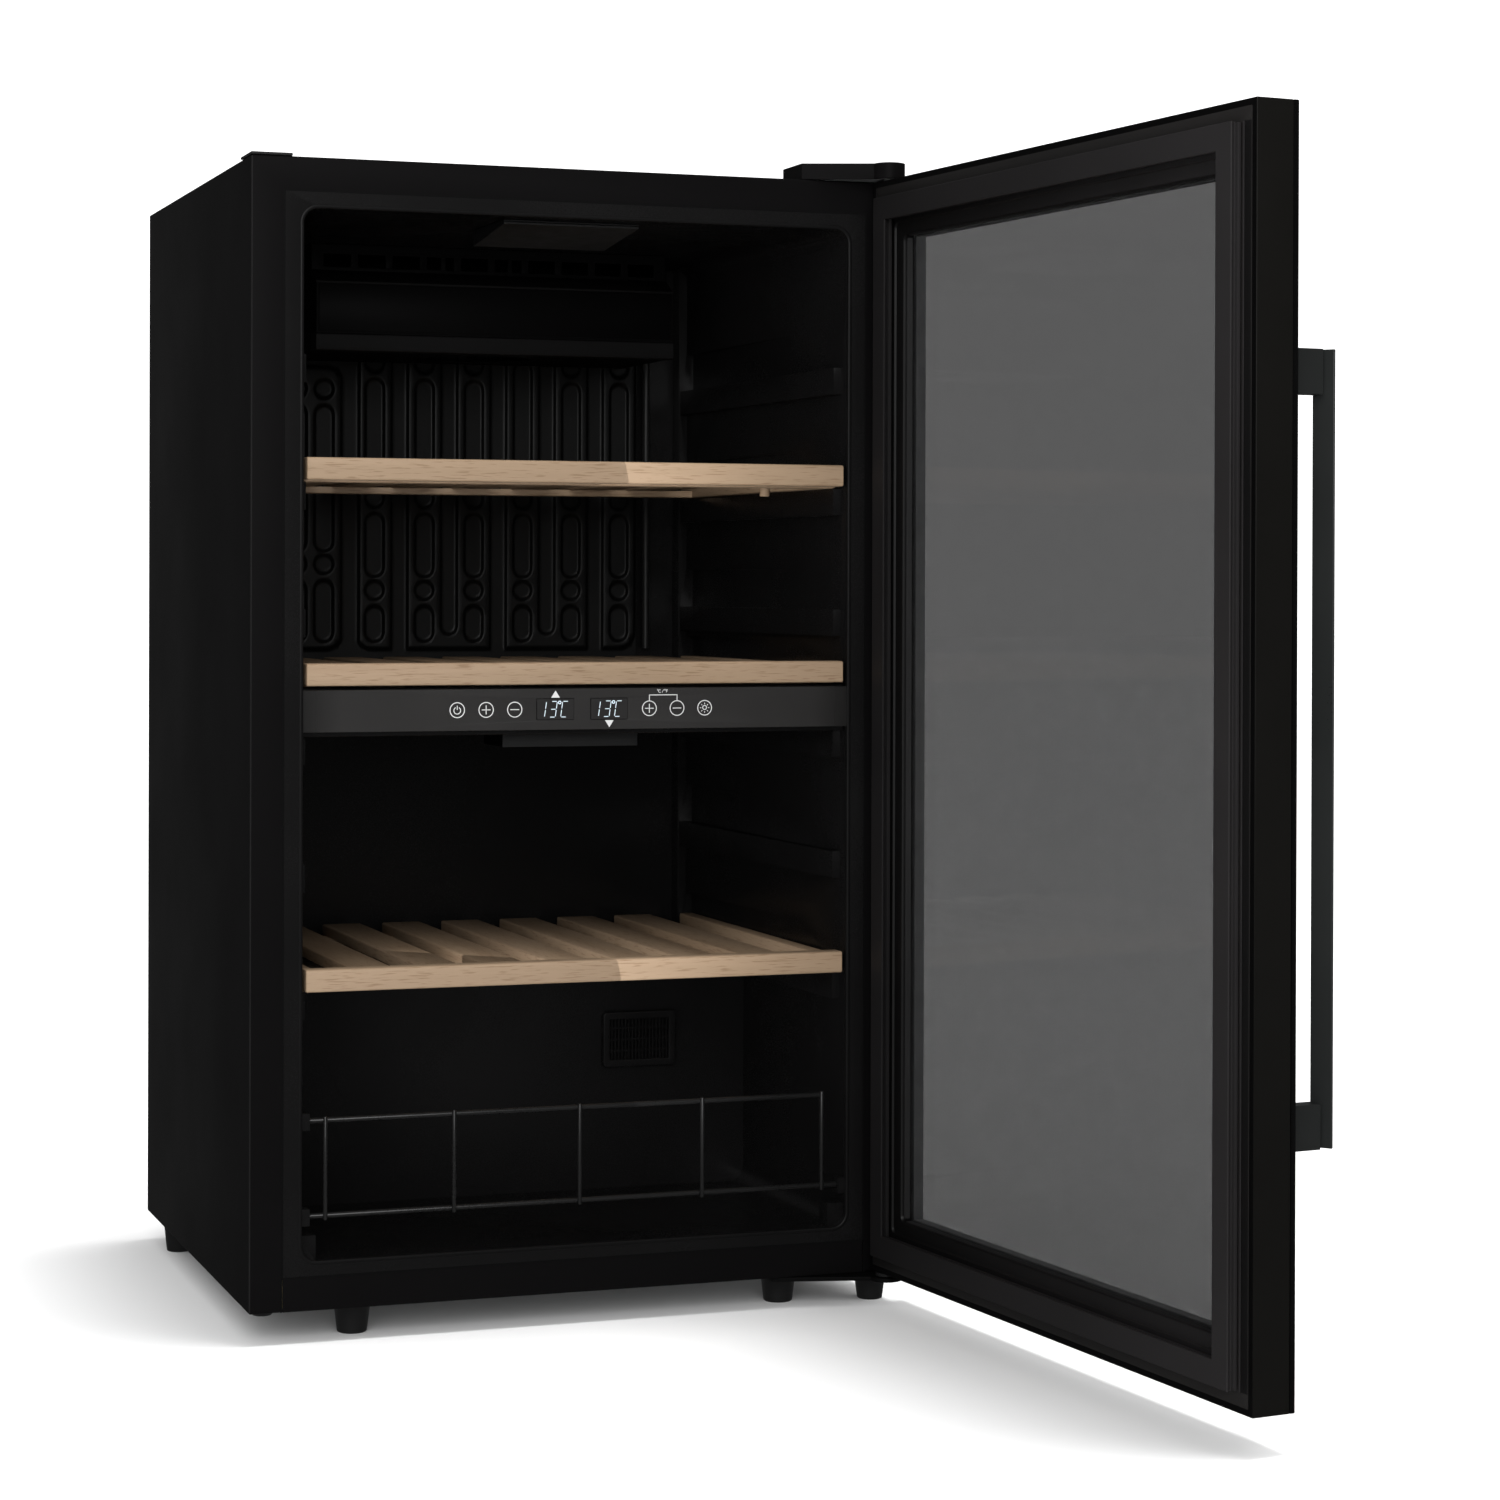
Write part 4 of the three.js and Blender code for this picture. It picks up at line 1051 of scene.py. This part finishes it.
def sensor_grille():
    """A rim round a back plate, with upright bars and three rungs behind them."""
    back = HUMP_FRONT - 0.3
    front = back - 6
    left, right = COVER_X - 25, COVER_X + 25
    rim = rounded_outline([(0, back), (0, front), (6, front), (6, back - 4), (5, back)], 1.0)
    bm = picture_frame(rim, 30.5, COVER_Z - 22, COVER_Z + 22, 3, 4)
    bm.transform(Matrix.Translation((COVER_X, 0, 0)))
    parts = [box(left, right, back - 0.8, back, COVER_Z - 17, COVER_Z + 17)]
    low, high = COVER_Z - 16.5, COVER_Z + 16.5
    for k in range(GRILLE_BARS):
        x = COVER_X - 23 + k * 46 / (GRILLE_BARS - 1)
        parts.append(box(x - 0.55, x + 0.55, back - 4.8, back - 0.5, low, high, 0.25, 1))
    for z in (COVER_Z - 9, COVER_Z, COVER_Z + 9):
        parts.append(box(left, right, back - 4.2, back - 2.6, z - 0.7, z + 0.7))
    covered = ["sensor_cover", "temperature_sensor"]
    add_piece("sensor_grille", join(bm, *parts), "liner", covered)


def fan_box():
    """The box itself, with a paler lip under its dark fascia and a ledge over it."""
    refined("fan_box", "fascia", 0.7, 2)
    lip = [(246, 722.6), (228.4, 722.6), (228.4, 735.6), (231, 737), (246, 737)]
    lip_bar = prism(rounded_outline(lip, 1.2), "X", -147.4, 147.4)
    ledge = [(229.6, 775.2), (229.4, 777.2), (247.6, 787.3), (249, 786)]
    bm = join(lip_bar, prism(rounded_outline(ledge, 0.6), "X", -147.2, 147.2))
    add_piece("fan_box_trim", bm, "trim")
    bm = box(-145, 145, 229.2, 230.6, 738, 775, 0.5)
    add_piece("fan_box_fascia", bm, "fascia")


def guard():
    """Two long rails, and five upright wires in front of them."""
    rails = []
    for z, right in ((GUARD_LOWER, 206), (GUARD_UPPER, 2 * GUARD_SPREAD + 2)):
        rails.append(wire([Vector((-206, GUARD_Y, z)), Vector((right, GUARD_Y, z))], GUARD_RADIUS))
    for k in range(-2, 3):
        x, y = k * GUARD_SPREAD, GUARD_Y - 2.6
        ends = [Vector((x, y, GUARD_LOWER - 3)), Vector((x, y, GUARD_UPPER + 3))]
        rails.append(wire(ends, 1.6))
    add_piece("guard_wires", join(*rails), "wire", ["bottle_guard"])


def interior():
    evaporator()
    sensor_grille()
    guard()
    moulded("upper_light_housing", 0.4)
    refined("lower_light_housing", "fascia", 0.4)
    refined("upper_light_lens", "lens", 0.3)
    refined("lower_light_lens", "dim_lens", 0.3)
    fan_box()
    moulded("fan_motor", 0.4)
    refined("fan_rotor", "black", 0.3, body="fan")
    dress("lower_evaporator", "aluminium")


interior()

# --- Shelves ---


def shelf_rail(low):
    corners = [(0.6, low), (16.2, low), (16.2, low + 16), (0.6, low + 16)]
    rail = prism(rounded_outline(corners, 2.2, 4), "X", -205, 205)
    ends = [e for f in rail.faces if len(f.verts) > 8 for e in f.edges]
    round_edges(rail, ends, 0.9, 3)
    return rail


def shelf_slats(low):
    """Seven slats and the two side bars, which are deeper."""
    slats = []
    half = SLAT_WIDTH / 2
    for k in range(-3, 4):
        x = k * SLAT_PITCH
        slats.append(box(x - half, x + half, SHELF_FRONT, SHELF_BACK, low + 5, low + 14, 1.4, 3))
    for side in (-1, 1):
        x0, x1 = sorted((side * SHELF_HALF, side * (SHELF_HALF - 12)))
        slats.append(box(x0, x1, SHELF_FRONT, SHELF_BACK, low, low + 14, 1.2, 3))
    return join(*slats)


def shelf_battens(low, with_peg):
    battens = []
    for y0, y1 in ((SHELF_FRONT, SHELF_FRONT + 22), (SHELF_BACK - 30, SHELF_BACK - 8)):
        battens.append(box(-SHELF_HALF + 11, SHELF_HALF - 11, y0, y1, low, low + 5.4, 0.8, 2))
    if with_peg:
        peg = [(0, low - 6), (3.2, low - 6), (3.7, low - 5.4), (3.7, low + 1), (0, low + 1)]
        battens.append(turned(peg, 157, 42, 24))
    return join(*battens)


def shelf(name, rail_low):
    body = f"{name}_shelf"
    low = rail_low - 1
    rail = shelf_rail(rail_low)
    add_piece(f"{name}_rail_wood", rail, "wood_x", [f"{body}_rail"], body)
    add_piece(f"{name}_slats", shelf_slats(low), "wood_y", [f"{body}_frame"], body)
    battens = shelf_battens(low, name == "upper")
    add_piece(f"{name}_battens", battens, "wood_x", body=body)


for shelf_name, shelf_rail_low in SHELF_RAILS.items():
    shelf(shelf_name, shelf_rail_low)

# --- Door ---


def door_piece(name, bm, material, replaces=(), sharp=SHARP):
    return add_piece(name, bm, material, replaces, "door", IN_DOOR, sharp)


def door_ring(outline, *corners):
    """Sweeps an outline of (inset, y) points round the whole door."""
    return picture_frame(outline, SIDE, DOOR_LOW, DOOR_HIGH, *corners)


def door_metal():
    corners = [(0, DOOR_INNER), (0, DOOR_BACK), (12, DOOR_BACK), (12, DOOR_INNER)]
    bm = door_ring(rounded_outline(corners, 0.8), 0.7, 3)
    door_piece("door_metal_frame", bm, "door_metal", ["door_frame"])


def door_moulding():
    """The moulding that holds the panes, from the metal frame to the glass."""
    outline = [
        (12.3, DOOR_BACK), (12.3, DOOR_INNER - 0.4), (12.8, DOOR_INNER),
        (27, DOOR_INNER), (33, DOOR_INNER - 0.2), (33.8, DOOR_INNER - 1.6),
        (40, DOOR_INNER - 2.2), (42.2, DOOR_INNER - 2.8),
        (DOOR_BORDER, DOOR_INNER - 4.5), (DOOR_BORDER, -14.2), (42.5, -14.2),
        (42.5, INNER_PANE_BACK), (REBATE, INNER_PANE_BACK), (REBATE, SPACER_FRONT),
        (30.5, DOOR_BACK),
    ]
    bm = door_ring(outline, 1.2, 6, 5)
    door_piece("door_inner_moulding", bm, "door_plastic", ["door_inner_frame"])


def door_rim():
    """The flat rim outside the gasket, and the dark groove between it and the metal."""
    low, face = DOOR_INNER - 0.1, DOOR_INNER + RIM_HEIGHT
    rim = [(4.6, low), (4.6, face - 0.1), (4.8, face), (16, face), (16, low)]
    door_piece("door_rim", door_ring(rim, 1, 3, 1), "door_rim")
    groove = [(0.3, low), (0.3, face - 0.1), (4.5, face - 0.1), (4.5, low)]
    door_piece("door_edge_groove", door_ring(groove, 0.7, 3, 0.7), "shadow")


def door_seals():
    """A dark strip of painted shadow down the free edge, where the gasket shades the rim, a rubber
    lip beside it, and the seal that the inner pane sits in.
    """
    face = DOOR_INNER + RIM_HEIGHT
    low, high = DOOR_LOW + GASKET_END, DOOR_HIGH - GASKET_END
    # Painted shadow: a thin dark sheet where the gasket casts its shadow on the free edge.
    strip = box(5 - SIDE, 12.4 - SIDE, face - 0.1, face + 0.25, low, high, 0.1, 1)
    door_piece("free_edge_painted_shadow", strip, "gasket_painted_shadow")
    lip = box(12.6 - SIDE, 14.2 - SIDE, face - 0.1, face + 0.6, low, high, 0.2, 1)
    door_piece("free_edge_lip", lip, "gasket")
    left, right = DOOR_BORDER - 0.7, DOOR_BORDER + 0.2
    seal = [(left, -14.3), (right, -14.3), (right, INNER_PANE_BACK), (left, INNER_PANE_BACK)]
    door_piece("pane_seal_ring", door_ring(seal), "pane_seal")


def gasket():
    """A flat magnet strip on a folded bellows, with its corners mitred."""
    face, base = GASKET_FACE, DOOR_INNER + 0.3
    outline = [
        (1.2, base), (0.4, base + 0.6), (0.4, base + 2.4), (2.0, base + 3.2),
        (2.0, base + 3.9), (0.3, base + 4.6), (0.3, base + 5.4), (1.7, base + 6.0),
        (1.7, base + 6.5), (0.1, base + 7.0), (0.0, face - 0.5), (0.5, face),
        (GASKET_WIDTH - 0.6, face), (GASKET_WIDTH, face - 0.6),
        (GASKET_WIDTH - 0.2, base + 6.6), (GASKET_WIDTH - 3.2, base + 5.6),
        (GASKET_WIDTH - 3.2, base + 4.6), (GASKET_WIDTH - 0.8, base + 3.6),
        (GASKET_WIDTH - 0.6, base + 1.4), (GASKET_WIDTH - 2.4, base),
    ]
    half = SIDE - GASKET_SIDE
    bm = picture_frame(outline, half, DOOR_LOW + GASKET_END, DOOR_HIGH - GASKET_END)
    piece = door_piece("gasket_bellows", bm, "gasket", ["door_gasket"], 50)
    bevelled(piece, 0.15, 1, 20)


def panes():
    """The front pane is printed black round its border; the inner one is clear all over."""
    back, front = DOOR_BACK - 0.3, DOOR_GLASS
    outline = [
        (0.7, back), (0, back - 0.6), (0, front + 0.8), (0.25, front + 0.25),
        (0.8, front), (PRINT_WIDTH, front), (PRINT_WIDTH, back),
    ]
    door_piece("pane_border", door_ring(outline, 0.7, 8, 1), "enamel")
    inset = PRINT_WIDTH + 0.02
    edges = rectangle(SIDE - inset, DOOR_LOW + inset, DOOR_HIGH - inset)
    clear = prism(edges, "Y", front + 0.02, back - 0.05)
    door_piece("pane_middle", clear, "glass", ["front_pane"])
    refined("inner_pane", "glass", 0.3, 1, "door")


def spacer():
    """The metal bar that keeps the two panes apart."""
    front, back = SPACER_FRONT, SPACER_BACK
    left, right = REBATE + 0.3, DOOR_BORDER + 0.7
    outline = rounded_outline([(left, back), (right, back), (right, front), (left, front)], 0.3)
    door_piece("pane_spacer_bar", door_ring(outline), "spacer", ["pane_spacer"])


def door():
    door_metal()
    door_moulding()
    door_rim()
    door_seals()
    gasket()
    panes()
    spacer()
    refined("handle_bar", "handle", 0.5, 3, "door", 40)
    for end in ("lower", "upper"):
        refined(f"{end}_handle_bracket", "bracket", 0.5, 3, "door")


door()

# --- Machinery at the back ---


def condenser():
    """A flat coil of tube with upright wires on both of its faces, held by four blocks."""
    corners = []
    for i in range(CONDENSER_PASSES):
        z = CONDENSER_LOW + i * CONDENSER_PITCH
        ends = (1, -1) if i % 2 else (-1, 1)
        corners += [(end * CONDENSER_HALF, CONDENSER_Y, z) for end in ends]
    top = CONDENSER_LOW + (CONDENSER_PASSES - 1) * CONDENSER_PITCH
    parts = [tube(rounded_path(corners, 14, 8), 2.5, 12)]
    for k in range(CONDENSER_WIRES):
        x = -182 + 364 * k / (CONDENSER_WIRES - 1)
        for y in (CONDENSER_Y - 3.1, CONDENSER_Y + 3.1):
            ends = [Vector((x, y, CONDENSER_LOW - 14)), Vector((x, y, top + 14))]
            parts.append(wire(ends, 0.75, 6))
    for x in (-160, 160):
        for z in (CONDENSER_LOW, top):
            parts.append(box(x - 5, x + 5, DEPTH - 0.2, CONDENSER_Y + 2, z - 8, z + 8, 0.8))
    add_piece("condenser_coil", join(*parts), "machine", ["condenser"])


def compressor():
    """A welded shell on a foot plate with four rubber grommets."""
    outline = [
        (0, 40), (52, 40), (61, 45), (65, 56), (66, 98), (69.5, 99), (69.5, 103),
        (66, 104), (66, 140), (63, 156), (54, 170), (38, 178), (16, 181.6), (0, 182),
    ]
    shell = turned(outline, 0, 0, 64)
    shell.transform(Matrix.Translation(COMPRESSOR) @ Matrix.Diagonal((COMPRESSOR_STRETCH, 1, 1, 1)))
    x, y = COMPRESSOR.x, COMPRESSOR.y
    parts = [box(x - 95, x + 95, y - 52, y + 52, 35.5, 38.5, 1.2, 2)]
    parts.append(turned([(0, 38), (44, 38), (44, 42), (0, 42)], x, y, 32))
    for dx in (-84, 84):
        for dy in (-42, 42):
            grommet = [(0, 25), (10, 25), (10, 28), (7, 30), (7, 34), (9, 36), (9, 42), (0, 42)]
            parts.append(turned(grommet, x + dx, y + dy, 24))
    whole = join(shell, *parts)
    add_piece("compressor_shell", whole, "machine", ["compressor"])


def copper_piece(name, bm, node):
    add_piece(name, bm, "copper", [node])


def pipework():
    x = COMPRESSOR.x - 66 * COMPRESSOR_STRETCH - 1
    y = COMPRESSOR.y
    discharge = [
        (x, y, 110), (-205, y, 110), (-205, CONDENSER_Y, 110),
        (-205, CONDENSER_Y, CONDENSER_LOW), (-196, CONDENSER_Y, CONDENSER_LOW),
    ]
    copper_piece("discharge_pipe", tube(rounded_path(discharge, 8), 2.5, 16), "discharge_tube")
    x = COMPRESSOR.x + 50
    suction = [(x + 10, y - 40, 150), (x + 60, y - 40, 150), (x + 60, y - 40, 204.5)]
    copper_piece("suction_pipe", tube(rounded_path(suction, 14), 3.5, 16), "suction_tube")
    drier = [
        (0, 88), (2.5, 88), (2.5, 97), (5, 101), (10, 107), (10, 181), (5, 188),
        (2.5, 192), (2.5, 200), (0, 200),
    ]
    copper_piece("drier_body", turned(drier, 170, 390, 32), "filter_drier")


def machinery():
    condenser()
    compressor()
    pipework()
    moulded("terminal_box", 1.5, 3)
    moulded("drip_tray", 0.8)
    moulded("cord_gland", 0.5)


machinery()

# --- Stage and light ---

FILL_LIGHT = 0.74
MIRRORED_LIGHT = 0.1
SEEN_LIGHT = 1.53  # matches the far floor, so that no horizon shows through the glass
BAY_SPANS = ((60, 430), (470, 800))  # the bottom and top of each bay


def stage():
    bm = bmesh.new()
    bmesh.ops.create_grid(bm, x_segments=1, y_segments=1, size=30)
    floor = new_object("floor", new_mesh("floor", bm))
    material, tree, shader = new_material("floor_paint")
    paint = noise(tree, object_coordinates(tree), 3, 2)
    white = ramp(tree, paint, [(0.3, (0.93, 0.93, 0.93)), (0.7, (0.94, 0.94, 0.94))])
    link(white, shader.inputs["Base Color"])
    set_inputs(shader, Roughness=0.9, Specular_IOR_Level=0.0)
    floor.data.materials.append(material)
    floor.visible_glossy = False


def background(tree, strength):
    node = new_node(tree, "Background")
    set_inputs(node, Color=(1, 1, 1, 1), Strength=strength)
    return node.outputs["Background"]


def blend(tree, flag, off, on):
    """Chooses between two shaders by a flag of 0 or 1."""
    node = new_node(tree, "MixShader")
    link(flag, node.inputs["Fac"])
    link(off, node.inputs[1])
    link(on, node.inputs[2])
    return node.outputs["Shader"]


def world_light():
    """White to look at, a soft fill for matt surfaces and dim in reflections."""
    world = bpy.data.worlds.new("studio")
    scene.world = world
    world.use_nodes = True
    tree = world.node_tree
    tree.nodes.clear()
    output = new_node(tree, "OutputWorld")
    path = new_node(tree, "LightPath")
    fill, mirrored = background(tree, FILL_LIGHT), background(tree, MIRRORED_LIGHT)
    dim = blend(tree, path.outputs["Is Glossy Ray"], fill, mirrored)
    seen = blend(tree, path.outputs["Is Camera Ray"], dim, background(tree, SEEN_LIGHT))
    link(seen, output.inputs["Surface"])


def add_light(data, heading):
    source = new_object(data.name, data)
    source.rotation_euler = Vector(heading).to_track_quat("-Z", "Y").to_euler()
    return source


def area_light(name, place, target, width, height, power, glossy=True):
    data = bpy.data.lights.new(name, "AREA")
    data.shape = "RECTANGLE"
    data.size = width
    data.size_y = height
    data.energy = power
    source = add_light(data, Vector(target) - Vector(place))
    source.location = place
    source.visible_glossy = glossy
    source.visible_camera = False


def sun_light(name, heading, strength, spread_angle):
    data = bpy.data.lights.new(name, "SUN")
    data.energy = strength
    data.angle = math.radians(spread_angle)
    add_light(data, heading).visible_glossy = False


def lights():
    sun_light("right", (-0.9, 0.3, -0.9), 0.9, 50)
    sun_light("overhead", (-0.13, 0.03, -1), 2.2, 16)
    area_light("front", (-1.2, -3.4, 1.8), (0, 0, 0.3), 2.4, 2.4, 74)
    for low, high in BAY_SPANS:
        middle = (low + high) / 2
        place = IN_CABINET @ Vector((0, 30, middle))
        target = IN_CABINET @ Vector((200, 240, middle + 40))
        area_light("bay_fill", place, target, 0.3, 0.24, 0.22, False)


stage()
world_light()
lights()
scene.view_settings.view_transform = "Standard"
scene.view_settings.look = "None"
